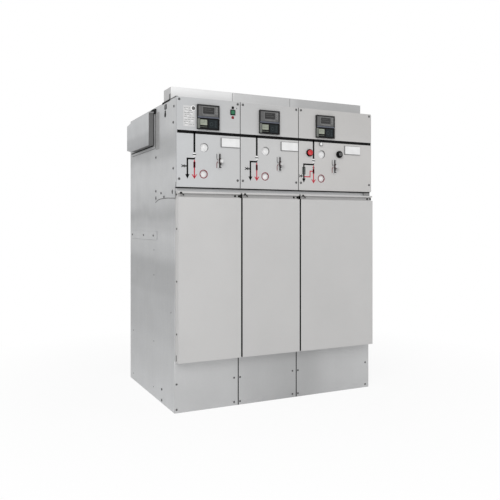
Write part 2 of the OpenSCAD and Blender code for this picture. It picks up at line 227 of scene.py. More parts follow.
def printed_film(name, shade, gloss=0.3):
    """Screen-printed film: almost even ink, with the weave of the screen just felt."""
    ink = Finish(name, IOR=1.45, Specular_IOR_Level=gloss)
    ink.base(ink.times(shade, ink.patches(25, 0.97)))
    ink.rough(ink.noise(20, 3), 0.42, 0.55)
    ink.bump(ink.noise(0.3, 1), 0.008)
    return ink.material


def liquid_crystal(name, shade):
    """A display behind its clear window: an even field with a faint raster."""
    screen = Finish(name, IOR=1.5, Specular_IOR_Level=0.3, Coat_Weight=0.25, Coat_Roughness=0.08)
    raster = screen.ramp(screen.cells(0.8), [(0.0, grey(0.94)), (1.0, grey(1.0))], "LINEAR")
    screen.base(screen.times(screen.times(shade, raster), screen.patches(14, 0.92, 2)))
    screen.rough(screen.noise(8, 2), 0.2, 0.32)
    return screen.material


def plated_steel(name, value):
    """Zinc-plated screw steel: turning marks and darker stains."""
    steel = Finish(name, Metallic=0.6)
    steel.base(steel.ramp(steel.noise(4, 4), [(0.3, grey(value * 0.85)), (0.7, grey(value))]))
    steel.rough(steel.noise(1.5, 3), 0.35, 0.55)
    steel.bump(steel.noise(0.3, 2), 0.02)
    return steel.material


def from_left_side(finish):
    """From 0 at the block's left side to 1 at its right."""
    return finish.spread(finish.along("X"), 0.0, 1.0, -HALF_WIDTH, HALF_WIDTH)


def upwards(finish, foot, head):
    """From 0 at one height to 1 at another, in metres."""
    return finish.spread(finish.along("Z"), 0.0, 1.0, foot, head)


def wall_reflection_bands(finish):
    """Side and rear sheets: soft lighter and darker bands over the height, as painted reflections."""
    height = upwards(finish, 0.0, ROOF_HEIGHT)
    wander = finish.spread(finish.noise(300, 1), -0.008, 0.008, 0.3, 0.7)
    bands = (
        (0.00, 0.84), (0.17, 0.80), (0.25, 0.77), (0.35, 0.755), (0.38, 0.725), (0.46, 0.70),
        (0.505, 0.76), (0.56, 0.775), (0.60, 0.73), (0.63, 0.68), (0.68, 0.745), (0.75, 0.78),
        (0.80, 0.765), (0.84, 0.69), (0.87, 0.69), (0.92, 0.77), (0.96, 0.765), (1.00, 0.775),
    )
    return finish.ramp(finish.sum(height, wander), [(at, grey(value, -0.004)) for at, value in bands])


def across_tone(bands, warmth=0.0):
    """A tone that changes from the block's left side to its right."""
    def tone(finish):
        return finish.ramp(from_left_side(finish), [(at, grey(value, warmth)) for at, value in bands])
    return tone


def plate_tone(finish):
    """Front plates: cooler on the left and warmer on the right, a little darker towards the roof."""
    stops = [(0.0, grey(0.78, -0.006)), (0.4, grey(0.775)), (0.75, grey(0.77, 0.006))]
    shade = finish.ramp(from_left_side(finish), stops)
    height = upwards(finish, 1.0, ROOF_HEIGHT)
    darker = finish.ramp(height, [(0.5, grey(1.0)), (0.75, grey(0.965)), (1.0, grey(0.955))])
    return finish.times(shade, darker)


def wireway_painted_highlight(finish):
    """The wireway's front: lightest on the left, a painted highlight, where it also darkens towards its
    foot.
    """
    side = from_left_side(finish)
    bands = ((0.0, 0.94), (0.28, 0.915), (0.31, 0.80), (0.6, 0.765), (0.65, 0.71), (1.0, 0.695))
    shade = finish.ramp(side, [(at, grey(value)) for at, value in bands])
    height = upwards(finish, ROOF_HEIGHT, 1.455)
    past_seam = finish.spread(side, 0.0, 1.0, 0.295, 0.305)
    darker = finish.ramp(finish.sum(height, past_seam), [(0.0, grey(0.89)), (1.0, grey(1.0))])
    return finish.times(shade, darker)


def end_cover_painted_shade(finish):
    """The end cover's sheet, darker towards its lower edge as painted shade."""
    height = upwards(finish, 1.215, 1.38)
    bands = ((0.0, 0.62), (0.3, 0.67), (0.55, 0.745), (1.0, 0.775))
    return finish.ramp(height, [(at, grey(value, -0.006)) for at, value in bands])


COVER_TONE = ((0.0, 0.778), (0.5, 0.77), (1.0, 0.772))
# Plinth covers: lighter at both sides and darker in the middle, as painted reflections on the sheet.
PLINTH_REFLECTION_BANDS = (
    (0.0, 0.785), (0.25, 0.77), (0.4, 0.735), (0.55, 0.70), (0.63, 0.705), (0.8, 0.76), (1.0, 0.785),
)

FINISHES = {
    "cover_paint": powder_coat("light_grey_powder_coat", across_tone(COVER_TONE, 0.003)),
    "plate_paint": powder_coat("front_plate_powder_coat", plate_tone),
    # The wireway's front carries a painted highlight on its left.
    "wireway_paint": powder_coat("wireway_powder_coat_painted_highlight", wireway_painted_highlight),
    # The wireway's end plates: a darker copy of the wireway's paint, painted shade on the faces that look
    # sideways.
    "wireway_end_paint_shaded": powder_coat("wireway_end_powder_coat_shaded", plain(0.735)),
    # The covers' grip groove: painted shade.
    "groove_painted_shade": powder_coat("grip_groove_painted_shade_coat", plain(0.62)),
    "joint_paint": powder_coat("joint_strip_powder_coat", plain(0.80, -0.004)),
    # The wall sheets carry painted reflections in bands over their height.
    "galvanised_sheet": coated_sheet("coated_wall_sheet", wall_reflection_bands),
    "plinth_sheet": coated_sheet(
        "coated_plinth_sheet", across_tone(PLINTH_REFLECTION_BANDS, -0.002), 0.45, 0.997, 0.985,
    ),
    "plain_sheet": coated_sheet("coated_plain_sheet", plain(0.70)),
    "end_cover_sheet": coated_sheet("coated_end_cover_sheet", end_cover_painted_shade, 0.3),
    "stainless_steel": coated_sheet("rolled_stainless_sheet", plain(0.62), 0.9),
    "end_cover_rim": powder_coat("dark_grey_rim_paint", plain(0.42)),
    # Grey for the joint bracket and for a painted shadow beside the end cover.
    "bracket_and_shadow_grey": moulded("grey_bracket_and_painted_shadow", grey(0.60), 0.5, 0.65),
    "grommet_grey": moulded("grey_wire_grommets", grey(0.46), 0.6, 0.75),
    "lap_painted_shadow": moulded("grey_lap_painted_shadow", grey(0.38), 0.6, 0.75),
    "housing_plastic": moulded("dark_grey_housing", grey(0.17), 0.45, 0.6, gloss=0.15),
    "face_plastic": moulded("grey_instrument_face", grey(0.38), 0.45, 0.6, 0.01, 0.3),
    "stroke_plastic": moulded("light_stroke_and_button_highlight", grey(0.50), 0.45, 0.6, 0.01, 0.3),
    "lip_plastic": moulded("blue_grey_instrument_lip", colour(0.37, 0.385, 0.43), 0.45, 0.6, 0.01, 0.3),
    "margin_plastic": moulded("green_grey_margin", colour(0.43, 0.44, 0.42), 0.45, 0.6, 0.01, 0.3),
    "keypad_plastic": moulded("blue_black_keypad", colour(0.12, 0.145, 0.155), 0.45, 0.6, 0.01, 0.15),
    "key_plastic": moulded("grey_key_rings", colour(0.25, 0.28, 0.29), 0.45, 0.6, 0.01, 0.3),
    # Matt black for painted shade deep in the cover gaps and gate slots.
    "shadow_black": moulded("painted_shadow_black", grey(0.02), 0.85, 0.95, 0.03, 0.02),
    "black_plastic": moulded("black_housing", grey(0.07), 0.4, 0.55, gloss=0.12),
    "socket_plastic": moulded("grey_socket_wall", grey(0.50), 0.5, 0.65, gloss=0.2),
    "white_plastic": moulded("white_moulding", grey(0.99), 0.3, 0.42, 0.004),
    "tray_plastic": moulded("grey_label_tray", grey(0.54), 0.45, 0.6, 0.01, 0.3),
    "guide_plastic": moulded("light_grey_guide", grey(0.77), 0.45, 0.6),
    "knob_plastic": moulded("dark_knob", colour(0.21, 0.14, 0.15), 0.4, 0.55, gloss=0.2),
    # Lit and shaded copies of one knob cap colour.
    "lit_knob_cap": moulded("knob_cap_painted_lit", grey(0.87), 0.35, 0.5, 0.01),
    "shaded_knob_cap": moulded("knob_cap_painted_shade", grey(0.80), 0.45, 0.6, 0.01),
    "red_plastic": moulded("signal_red_moulding", colour(0.80, 0.10, 0.13), 0.25, 0.38, 0.008, coat=0.3),
    "ring_red": moulded("earthing_ring_red", colour(0.53, 0.15, 0.20), 0.35, 0.5, 0.01, 0.3),
    "marker_red": moulded("dark_red_marker", colour(0.52, 0.06, 0.13), 0.35, 0.5, 0.01, 0.3),
    "green_lens": moulded("green_lens", colour(0.09, 0.42, 0.28), 0.15, 0.25, 0.004, 0.4, 0.3),
    "lamp_lens": moulded("pale_lamp_lens", grey(0.62), 0.3, 0.4, 0.008),
    "label_white": printed_film("white_card", grey(0.905)),
    "rating_film": printed_film("pale_rating_film", grey(0.80)),
    "rule_grey": printed_film("grey_ruled_print", grey(0.56)),
    "seal_print": printed_film("grey_round_seal", grey(0.42)),
    "mimic_black": printed_film("black_diagram_film", grey(0.05), 0.1),
    "mimic_grey": printed_film("grey_path_film", grey(0.36), 0.2),
    "mimic_red": printed_film("red_diagram_film", colour(0.74, 0.19, 0.25), 0.2),
    "mimic_dark_red": printed_film("dark_red_diagram_film", colour(0.42, 0.09, 0.12), 0.2),
    "fuse_grey": printed_film("grey_diagram_film", colour(0.50, 0.52, 0.51), 0.2),
    "display": liquid_crystal("dark_display", grey(0.14)),
    "lcd": liquid_crystal("grey_green_display", colour(0.63, 0.65, 0.59)),
    "lcd_segments": liquid_crystal("display_segments", colour(0.52, 0.54, 0.50)),
    "display_rows": liquid_crystal("display_rows", grey(0.28)),
    "screw_zinc": plated_steel("plated_screw_steel", 0.40),
    "dark_screw": plated_steel("dark_plated_screw_steel", 0.24),
    # Black rubber, also used as painted shadow in seams, slots, openings and under edges.
    "rubber_and_shadow_black": moulded("black_rubber", grey(0.10), 0.7, 0.85, 0.03, 0.15),
    "joint_and_shadow_grey": moulded("grey_joint_and_painted_shadow", grey(0.38), 0.6, 0.75, 0.02, 0.3),
}


# ---------------------------------------------------------------- shaping

def box(node):
    """Lowest and highest corner of a CAD node, in millimetres."""
    low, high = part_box(node)
    return low / MM, high / MM


def corners(verts):
    """Lowest and highest corner of some vertices."""
    low = Vector(min(v.co[axis] for v in verts) for axis in range(3))
    high = Vector(max(v.co[axis] for v in verts) for axis in range(3))
    return low, high


def merged(node):
    """A copy of a CAD node's mesh in millimetres, with its loose triangles joined into flat faces."""
    bm = bmesh.new()
    bm.from_mesh(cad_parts[node].data)
    bmesh.ops.scale(bm, vec=(1 / MM,) * 3, verts=bm.verts)
    bmesh.ops.remove_doubles(bm, verts=bm.verts, dist=0.001)
    bmesh.ops.dissolve_limit(bm, angle_limit=math.radians(0.5), verts=bm.verts, edges=bm.edges)
    return bm


def solids(node):
    """Lowest and highest corner of each solid of a CAD node, from left to right and upwards."""
    bm = merged(node)
    waiting = set(bm.verts)
    found = []
    while waiting:
        reached = [waiting.pop()]
        for vert in reached:
            for edge in vert.link_edges:
                other = edge.other_vert(vert)
                if other in waiting:
                    waiting.remove(other)
                    reached.append(other)
        found.append(corners(reached))
    bm.free()
    return sorted(found, key=lambda ends: (round(ends[0].x), ends[0].z))


def piece(name, bm, slot, body="cabinet", stands_for=(), finish=None):
    """Makes a finished piece of a mesh drawn in millimetres, and lets it ride on a body.

    Faces that look straight along an axis are shaded flat, and the rounded edges between them smooth.
    """
    bmesh.ops.scale(bm, vec=(MM,) * 3, verts=bm.verts)
    mesh = bpy.data.meshes.new(name)
    bm.to_mesh(mesh)
    bm.free()
    mesh.set_sharp_from_angle(angle=math.radians(50))
    for face in mesh.polygons:
        face.use_smooth = max(abs(part) for part in face.normal) < 0.9999
    mesh.materials.append(FINISHES[finish or slot])
    made = bpy.data.objects.new(name, mesh)
    bpy.context.scene.collection.objects.link(made)
    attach(made, body)
    if stands_for:
        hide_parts(*stands_for)
    return made


def new_piece(name, bm, slot, **settings):
    """A piece drawn from nothing: its faces are turned outwards first."""
    bmesh.ops.recalc_face_normals(bm, faces=bm.faces)
    return piece(name, bm, slot, **settings)


def block(bm, low, high):
    """A box between two corners. Returns its vertices."""
    low, high = Vector(low), Vector(high)
    place = Matrix.Translation((low + high) / 2) @ Matrix.Diagonal((*(high - low), 1.0))
    return bmesh.ops.create_cube(bm, size=1.0, matrix=place)["verts"]


def prism(bm, outline, axis, start, end):
    """An outline in the two other axes, pushed along an axis. Returns its vertices."""
    known = set(bm.verts)
    verts = []
    for pair in outline:
        place = list(pair)
        place.insert(axis, start)
        verts.append(bm.verts.new(place))
    flat = bm.faces.new(verts)
    pushed = bmesh.ops.extrude_face_region(bm, geom=[flat], use_keep_orig=True)["geom"]
    move = Vector((0, 0, 0))
    move[axis] = end - start
    far_end = [made for made in pushed if isinstance(made, bmesh.types.BMVert)]
    bmesh.ops.translate(bm, vec=move, verts=far_end)
    return [vert for vert in bm.verts if vert not in known]


def edges_of(verts):
    inside = set(verts)
    return {edge for vert in verts for edge in vert.link_edges if edge.other_vert(vert) in inside}


def faces_of(verts):
    inside = set(verts)
    return {face for vert in verts for face in vert.link_faces if inside.issuperset(face.verts)}


def ease(bm, edges, radius, segments=2):
    """Rounds edges."""
    bmesh.ops.bevel(
        bm, geom=list(edges), offset=radius, offset_type="OFFSET", segments=segments,
        profile=0.5, affect="EDGES", clamp_overlap=True, material=-1,
    )


def runs_along(edge, axis):
    line = edge.verts[1].co - edge.verts[0].co
    return abs(line[axis]) > 0.99 * line.length


def is_sharp(edge):
    return len(edge.link_faces) == 2 and edge.calc_face_angle() > 0.6


def lies_at(edge, axis, value):
    """Whether an edge lies in the plane where a coordinate has that value."""
    return all(abs(vert.co[axis] - value) < 0.01 for vert in edge.verts)


def sharp_edges(bm, *tests):
    return [edge for edge in bm.edges if is_sharp(edge) and all(test(edge) for test in tests)]


def eased_block(bm, low, high, upright=1.0, rim=0.4, axis=1):
    """A box with its edges along an axis rounded to one radius and its other edges to another."""
    known = set(bm.verts)
    verts = block(bm, low, high)
    ease(bm, [edge for edge in edges_of(verts) if runs_along(edge, axis)], upright, 3)
    added = [vert for vert in bm.verts if vert not in known]
    outer = [edge for edge in edges_of(added) if is_sharp(edge) and not runs_along(edge, axis)]
    ease(bm, outer, rim, 2)
    return [vert for vert in bm.verts if vert not in known]


def window_frame(bm, low, high, width):
    """A flat rectangular ring between two corners, that wide."""
    verts = block(bm, low, high)
    faces = sorted(faces_of(verts), key=lambda face: face.calc_center_median().y)
    ends = [faces[0], faces[-1]]
    bmesh.ops.inset_individual(bm, faces=ends, thickness=width)
    loops = [edge for face in ends for edge in face.edges]
    bmesh.ops.delete(bm, geom=ends, context="FACES_ONLY")
    bmesh.ops.bridge_loops(bm, edges=loops)


def facing(outward, at):
    """Stands +Z on a surface that faces outward, at a place."""
    return Matrix.Translation(at) @ outward.to_track_quat("Z", "Y").to_matrix().to_4x4()


def turned(bm, outline, place, steps=24, ring=False):
    """Turns an outline of (radius, height) about +Z and stands it at a place."""
    known = set(bm.verts)
    points = [bm.verts.new((radius, 0, height)) for radius, height in outline]
    pairs = list(zip(points, points[1:]))
    if ring:
        pairs.append((points[-1], points[0]))
    edges = [bm.edges.new(pair) for pair in pairs]
    bmesh.ops.spin(
        bm, geom=points + edges, cent=(0, 0, 0), axis=(0, 0, 1), angle=math.tau,
        steps=steps, use_merge=True,
    )
    added = [vert for vert in bm.verts if vert not in known]
    bmesh.ops.remove_doubles(bm, verts=added, dist=0.0005)
    added = [vert for vert in bm.verts if vert not in known]
    bmesh.ops.transform(bm, matrix=place, verts=added)
    return added


# ---------------------------------------------------------------- places

wall_left = box("left_side_wall")[0].x
wall_right = box("right_side_wall")[1].x
top = box("roof")[1].z
rear_face = box("rear_wall")[1].y
plinth_face = box("plinth_cover_1")[0].y
plate_face = box("front_plate_1")[0].y
plate_foot = box("front_plate_1")[0].z
cover_face = box("cable_cover_1")[0].y
cover_foot = box("cable_cover_1")[0].z
cover_top = box("cable_cover_1")[1].z
seams = [(box(f"front_plate_{i}")[1].x + box(f"front_plate_{i + 1}")[0].x) / 2 for i in (1, 2)]
panel_edges = (wall_left, *seams, wall_right)


def panel_left(panel):
    return panel_edges[panel - 1]


def panel_right(panel):
    return panel_edges[panel]


def side_place(outward, depth, height):
    """A place on a side wall's outer face."""
    x = wall_left if outward.x < 0 else wall_right
    return Vector((x, plinth_face + depth, height))


def middle_of(ends, y=None):
    """The middle between two corners, in the plane at y if one is given."""
    middle = (ends[0] + ends[1]) / 2
    if y is not None:
        middle.y = y
    return middle


# ---------------------------------------------------------------- screws

# Outlines of (radius, height) from the middle of the recess to the shank under the surface
PAN_SCREW = (
    (0, 0.9), (1.4, 0.9), (1.7, 2.5), (3.0, 2.6), (4.1, 1.9), (4.7, 0.8),
    (5.8, 0.5), (5.8, -0.3), (0, -0.3),
)
WALL_SCREW = ((0, 0.8), (1.6, 0.8), (2.0, 2.2), (4.0, 2.2), (5.6, 1.2), (6.2, 0.0), (6.2, -0.3), (0, -0.3))
SMALL_SCREW = ((0, 0.7), (1.4, 0.7), (1.7, 1.9), (3.2, 1.9), (4.4, 1.0), (4.8, 0.0), (4.8, -0.3), (0, -0.3))
BLIND_RIVET = ((0, 0.3), (1.0, 0.4), (1.2, 1.1), (2.4, 0.9), (3.3, 0.3), (3.5, -0.3), (0, -0.3))


def fasteners(name, outline, outward, places, finish="screw_zinc"):
    bm = bmesh.new()
    for place in places:
        turned(bm, outline, facing(outward, place), 14)
    return new_piece(name, bm, "screw_zinc", finish=finish)


# ---------------------------------------------------------------- cabinet

def walls():
    """The folded side walls, the rear wall and the roof."""
    for side, outer in (("left", wall_left), ("right", wall_right)):
        node = f"{side}_side_wall"
        bm = merged(node)
        front = corners(bm.verts)[0].y
        folds = sharp_edges(
            bm, lambda edge: runs_along(edge, 2), lambda edge: lies_at(edge, 0, outer),
            lambda edge: lies_at(edge, 1, front),
        )
        ease(bm, folds, 2.5, 3)
        piece(f"{side}_wall_sheet", bm, "galvanised_sheet", stands_for=[node])
    for node in ("rear_wall", "roof"):
        bm = merged(node)
        ease(bm, sharp_edges(bm), 0.5)
        piece(f"{node}_sheet", bm, "galvanised_sheet", stands_for=[node])


# The lower edge of a mechanism side plate, as (distance behind the plinth's face, height)
SIDE_PLATE_EDGE = (
    (-8, 954), (91, 958), (149, 959), (194, 958), (233, 955), (256, 950), (269, 946), (281, 944),
)


def mechanism_side_plates():
    """Thin plates lapped over the upper front part of both side walls, with a dark strip along their lower
    edge as painted shadow.
    """
    for name, outward in (("left", LEFT), ("right", RIGHT)):
        wall = side_place(outward, 0, 0)
        edge = [(plinth_face + depth, height) for depth, height in SIDE_PLATE_EDGE]
        front = plate_face + 1.5
        foot, head = plate_foot + 1, top - 4
        outline = [(front, head), (front, foot), (edge[0][0], foot), *edge, (edge[-1][0], head)]
        bm = bmesh.new()
        prism(bm, outline, 0, wall.x, wall.x + outward.x)
        new_piece(f"{name}_mechanism_side_plate", bm, "galvanised_sheet")
        # A dark strip under the plate's lower edge: painted shadow of the lap.
        shadow_bead = bmesh.new()
        lower = [(depth, height - 3.2) for depth, height in reversed(edge)]
        prism(shadow_bead, [*edge, *lower], 0, wall.x, wall.x + outward.x * 0.8)
        new_piece(f"{name}_side_plate_painted_shadow", shadow_bead, "galvanised_sheet", finish="lap_painted_shadow")


def hidden_structure():
    """The frame, rails, posts, partitions and vessel keep their CAD shape and get their sheet finish."""
    for node, finish in (
        ("floor_frame", "plain_sheet"), ("front_rails", "plain_sheet"), ("front_posts", "plain_sheet"),
        ("partitions", "plain_sheet"), ("gas_vessel", "stainless_steel"),
    ):
        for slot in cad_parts[node].material_slots:
            slot.material = FINISHES[finish]


def plinth_covers():
    for panel in PANELS:
        node = f"plinth_cover_{panel}"
        bm = merged(node)
        ease(bm, sharp_edges(bm, lambda edge: lies_at(edge, 1, plinth_face)), 0.9, 3)
        piece(f"{node}_sheet", bm, "galvanised_sheet", stands_for=[node], finish="plinth_sheet")


def front_plates():
    """Folded plates with rounded outer edges, and just broken edges around their cut-outs."""
    for panel in PANELS:
        node = f"front_plate_{panel}"
        low, high = box(node)
        bm = merged(node)

        def on_outline(edge):
            at = (edge.verts[0].co + edge.verts[1].co) / 2
            on_side = min(abs(at.x - low.x), abs(at.x - high.x)) < 0.01
            on_end = min(abs(at.z - low.z), abs(at.z - high.z)) < 0.01
            return lies_at(edge, 1, low.y) and (on_side or on_end) or on_side and on_end

        ease(bm, sharp_edges(bm, on_outline), 1.3, 3)
        ease(bm, sharp_edges(bm, lambda edge: lies_at(edge, 1, low.y)), 0.25, 1)
        piece(f"{node}_folded", bm, "cover_paint", stands_for=[node], finish="plate_paint")


def cable_covers():
    """Folded covers with a rounded lip over their grip groove, and darker sheets in that groove as painted
    shade.
    """
    shade_sheets = bmesh.new()
    for panel in PANELS:
        node = f"cable_cover_{panel}"
        low, high = box(node)
        bm = merged(node)
        near_grip = [vert.co for vert in bm.verts if vert.co.y < low.y + 5 and vert.co.z > high.z - 40]
        groove = sorted({round(at.z, 2) for at in near_grip})
        groove_foot, groove_top = [height for height in groove if height < high.z - 1][:2]

        def at_corner(edge):
            on_side = lies_at(edge, 0, low.x) or lies_at(edge, 0, high.x)
            return runs_along(edge, 2) and on_side and edge.verts[0].co.y < low.y + 5

        def on_lip(edge):
            return runs_along(edge, 0) and lies_at(edge, 2, high.z) and edge.verts[0].co.y < low.y + 5

        def on_grip(edge):
            return runs_along(edge, 0) and lies_at(edge, 2, groove_foot) and lies_at(edge, 1, low.y)

        ease(bm, sharp_edges(bm, on_lip), 4.5, 6)
        ease(bm, sharp_edges(bm, on_grip), 2.6, 4)
        ease(bm, sharp_edges(bm, at_corner), 3.4, 5)
        ease(bm, sharp_edges(bm, lambda edge: lies_at(edge, 2, low.z) and lies_at(edge, 1, low.y)), 0.8, 2)
        piece(f"{node}_folded", bm, "cover_paint", stands_for=[node])
        left, right = low.x + 1, high.x - 1
        back = cover_face + GROOVE
        # Darker sheets on the groove's back and under its lip: painted shade.
        block(shade_sheets, (left, back - 0.4, groove_foot + 0.2), (right, back, groove_top - 0.1))
        block(shade_sheets, (left, cover_face + 3.5, groove_top - 0.4), (right, back, groove_top))
    new_piece("grip_groove_painted_shade", shade_sheets, "cover_paint", finish="groove_painted_shade")


def cover_fittings():
    """Hook latches at each cover's upper left, and plugs in the grip groove at its right."""
    latches = bmesh.new()
    plugs = bmesh.new()
    for panel in PANELS:
        left, right = panel_left(panel), panel_right(panel)
        turned(latches, ((0, 3.0), (3.6, 3.0), (5.0, 2.0), (5.0, -1), (0, -1)),
               facing(FRONT, Vector((left + 17, cover_face + 3.2, cover_top - 7))), 20)
        arm = block(latches, (-5, -1.6, -2), (5, 1.6, 2))
        hook = Matrix.Translation((left + 27, cover_face + 2.4, cover_top - 14))
        slant = Matrix.Rotation(math.radians(50), 4, "Y")
        bmesh.ops.transform(latches, matrix=hook @ slant, verts=arm)
        for margin in (28.5, 9):
            turned(plugs, ((0, 0.6), (2.8, 0.7), (4.6, 1.2), (4.9, 0.5), (4.9, -1), (0, -1)),
                   facing(FRONT, Vector((right - margin, cover_face + GROOVE - 0.4, cover_top - 16))), 20)
    new_piece("cover_latches", latches, "black_plastic")
    new_piece("cover_groove_plugs", plugs, "black_plastic")


def seam_painted_shadows():
    """Black strips as painted shadow in the seams between the panels' plates and plinth covers, and in the
    covers' gaps.
    """
    seam_shadows, gap_shadows = bmesh.new(), bmesh.new()
    # Black strips set into the seams and gaps: painted shadow.
    for x in seams:
        for bm, face, half, inset, foot, head in (
            (seam_shadows, plate_face, 1.2, -0.2, plate_foot + 1, top - 1),
            (gap_shadows, cover_face, 3.95, 0.6, cover_foot + 2, cover_top - 24),
            (gap_shadows, cover_face, 3.95, 6.0, cover_top - 25, cover_top - 4),
            (seam_shadows, plinth_face, 2.4, -0.3, 1, cover_foot - 1),
        ):
            block(bm, (x - half, face + inset, foot), (x + half, face + inset + 3, head))
    dash = (wall_left - 1.4, plate_face + 1.6, plate_foot + 1)
    eased_block(seam_shadows, dash, (wall_left + 0.5, plate_face + 5, plate_foot + 21), 0.5, 0.3, 0)
    new_piece("seam_painted_shadows", seam_shadows, "cover_paint", finish="rubber_and_shadow_black")
    new_piece("cover_gap_painted_shadows", gap_shadows, "cover_paint", finish="shadow_black")


def joint_strip():
    """The strip between the front plates and the cable covers, with a black strip above it as painted
    shadow, and a bracket.
    """
    foot, head = cover_top + 0.5, plate_foot - 0.5
    left, right = wall_left + 2, wall_right - 2
    bm = bmesh.new()
    eased_block(bm, (left, plinth_face - 6, foot), (right, plinth_face + 2, head), 0.4, 0.4)
    new_piece("front_joint_strip", bm, "cover_paint", finish="joint_paint")
    # A black strip under the plates' lower edge: painted shadow.
    seal = bmesh.new()
    eased_block(seal, (left, plinth_face - 13, head - 4), (right, plinth_face - 6, head), 0.4, 0.4, 0)
    new_piece("front_joint_painted_shadow", seal, "cover_paint", finish="rubber_and_shadow_black")
    bracket = bmesh.new()
    low = (wall_right - 38, plinth_face - 14, foot + 1)
    eased_block(bracket, low, (wall_right - 6, plinth_face - 9, head - 5), 1, 0.5)
    new_piece("front_joint_bracket", bracket, "cover_paint", finish="bracket_and_shadow_grey")


def wireway():
    """The channel and lids, with end plates, grommets, a joint over each panel seam and a base ledge."""
    for node in ("wireway_channel", "wireway_lids"):
        bm = merged(node)
        ease(bm, sharp_edges(bm), 0.6, 2)
        piece(f"{node}_folded", bm, "cover_paint", stands_for=[node], finish="wireway_paint")
    low, high = box("wireway_channel")
    channel = merged("wireway_channel")
    ends = bmesh.new()
    grommets = bmesh.new()
    for x, outward in ((low.x, -1), (high.x, 1)):
        at_end = [vert.co for vert in channel.verts if abs(vert.co.x - x) < 0.01]
        slots = [at for at in at_end if low.y + 2 < at.y < high.y - 2]
        slot_low = Vector((x, min(at.y for at in slots), min(at.z for at in slots)))
        slot_high = Vector((x, max(at.y for at in slots), max(at.z for at in slots)))
        front, rear = low.y + 1.5, high.y - 1.5
        foot, head = low.z + 1, high.z - 0.5
        outline = [
            (front, foot), (slot_low.y, foot), (slot_low.y, slot_high.z), (slot_high.y, slot_high.z),
            (slot_high.y, foot), (rear, foot), (rear, head), (front, head),
        ]
        prism(ends, outline, 0, x, x + outward * 0.8)
        reach = sorted((x - outward * 2.5, x + outward * 1.1))
        start = (reach[0], slot_low.y - 4, low.z + 2)
        eased_block(grommets, start, (reach[1], slot_high.y + 9, slot_high.z + 1), 2, 0.3, 0)
    channel.free()
    new_piece("wireway_end_plates", ends, "cover_paint", finish="wireway_end_paint_shaded")
    new_piece("wireway_slot_grommets", grommets, "cover_paint", finish="grommet_grey")
    joints = bmesh.new()
    for x in seams:
        block(joints, (x - 0.8, low.y - 0.15, low.z + 1), (x + 0.8, low.y + 0.3, high.z))
    new_piece("wireway_joints", joints, "cover_paint", finish="joint_and_shadow_grey")
    ledge = bmesh.new()
    eased_block(ledge, (low.x + 2, low.y - 1.4, low.z), (high.x - 2, low.y + 0.5, low.z + 5), 0.4, 0.4, 0)
    new_piece("wireway_base_ledge", ledge, "cover_paint", finish="plate_paint")


def end_cover():
    """The busbar end cover: a light outer sheet on a dark rim, on its flange."""
    low, high = box("end_cover")
    outer_sheet = 1.6

    def cut(**cleared):
        """The cover on one side of the plane behind its outer sheet."""
        bm = merged("end_cover")
        bmesh.ops.bisect_plane(
            bm, geom=bm.verts[:] + bm.edges[:] + bm.faces[:],
            plane_co=(low.x + outer_sheet, 0, 0), plane_no=(1, 0, 0), **cleared,
        )
        bmesh.ops.holes_fill(bm, edges=bm.edges[:])
        return bm

    sheet = cut(clear_outer=True)
    ease(sheet, sharp_edges(sheet, lambda edge: lies_at(edge, 0, low.x)), 1.2, 3)
    piece("end_cover_outer_sheet", sheet, "end_cover_sheet", stands_for=["end_cover"])

    rim = cut(clear_inner=True)
    middle = (low + high) / 2
    inset = (1.0, 1 - 2 / (high.y - low.y), 1 - 1 / (high.z - low.z))
    bmesh.ops.scale(rim, vec=inset, verts=rim.verts, space=Matrix.Translation(-middle))
    piece("end_cover_dark_rim", rim, "end_cover_sheet", finish="end_cover_rim")

    flange = merged("end_cover_flange")
    ease(flange, sharp_edges(flange), 0.8, 2)
    piece("end_cover_flange_sheet", flange, "galvanised_sheet", stands_for=["end_cover_flange"])

    def beside(depth_from, depth_to, z_from, z_to, thick):
        start = Vector((wall_left - thick, plinth_face + depth_from, z_from))
        return start, Vector((wall_left - 0.5, plinth_face + depth_to, z_to))

    # A darker strip on the wall beside the flange: painted shadow of the end cover.
    cover_shadow = bmesh.new()
    eased_block(cover_shadow, *beside(217, 272, top - 205, top - 30, 2.4), 4, 0.5, 0)
    new_piece("end_cover_painted_shadow_strip", cover_shadow, "galvanised_sheet", finish="bracket_and_shadow_grey")
    # Black strips along the flange's front, under the cover and along its front edge are painted shadow;
    # the three pieces near the roof are drawn as black rubber.
    seal = bmesh.new()
    flange_low, flange_high = box("end_cover_flange")
    front = flange_low.y - plinth_face
    eased_block(seal, *beside(front - 5, front, flange_low.z, flange_high.z - 16, 3), 0.5, 0.5, 0)
    eased_block(seal, *beside(front - 10, front + 10, flange_high.z - 15, top - 8, 8), 2, 0.6, 0)
    eased_block(seal, *beside(front + 10, front + 50, flange_high.z + 4, top - 5, 6), 2, 0.6, 0)
    eased_block(seal, *beside(front + 50, front + 80, flange_high.z + 8, top - 6, 3), 1, 0.5, 0)
    foot = (flange_low.x - 2, low.y + 3, low.z - 4)
    eased_block(seal, foot, (flange_low.x, high.y - 2, low.z + 0.6), 0.5, 0.5, 1)
    edge = (flange_low.x - 1.6, low.y - 4.5, low.z)
    eased_block(seal, edge, (flange_low.x, low.y + 0.8, high.z - 3), 0.5, 0.5, 2)
    new_piece("end_cover_seal_and_painted_shadow", seal, "black_plastic", finish="rubber_and_shadow_black")
    # A grey strip under the flange: painted shadow of its lower edge.
    edge_shadow = bmesh.new()
    foot = (wall_left - 1.2, flange_low.y + 2, flange_low.z - 2.2)
    eased_block(edge_shadow, foot, (wall_left + 1, flange_high.y - 2, flange_low.z), 0.5, 0.4, 1)
    new_piece("end_cover_flange_painted_shadow", edge_shadow, "black_plastic", finish="grommet_grey")


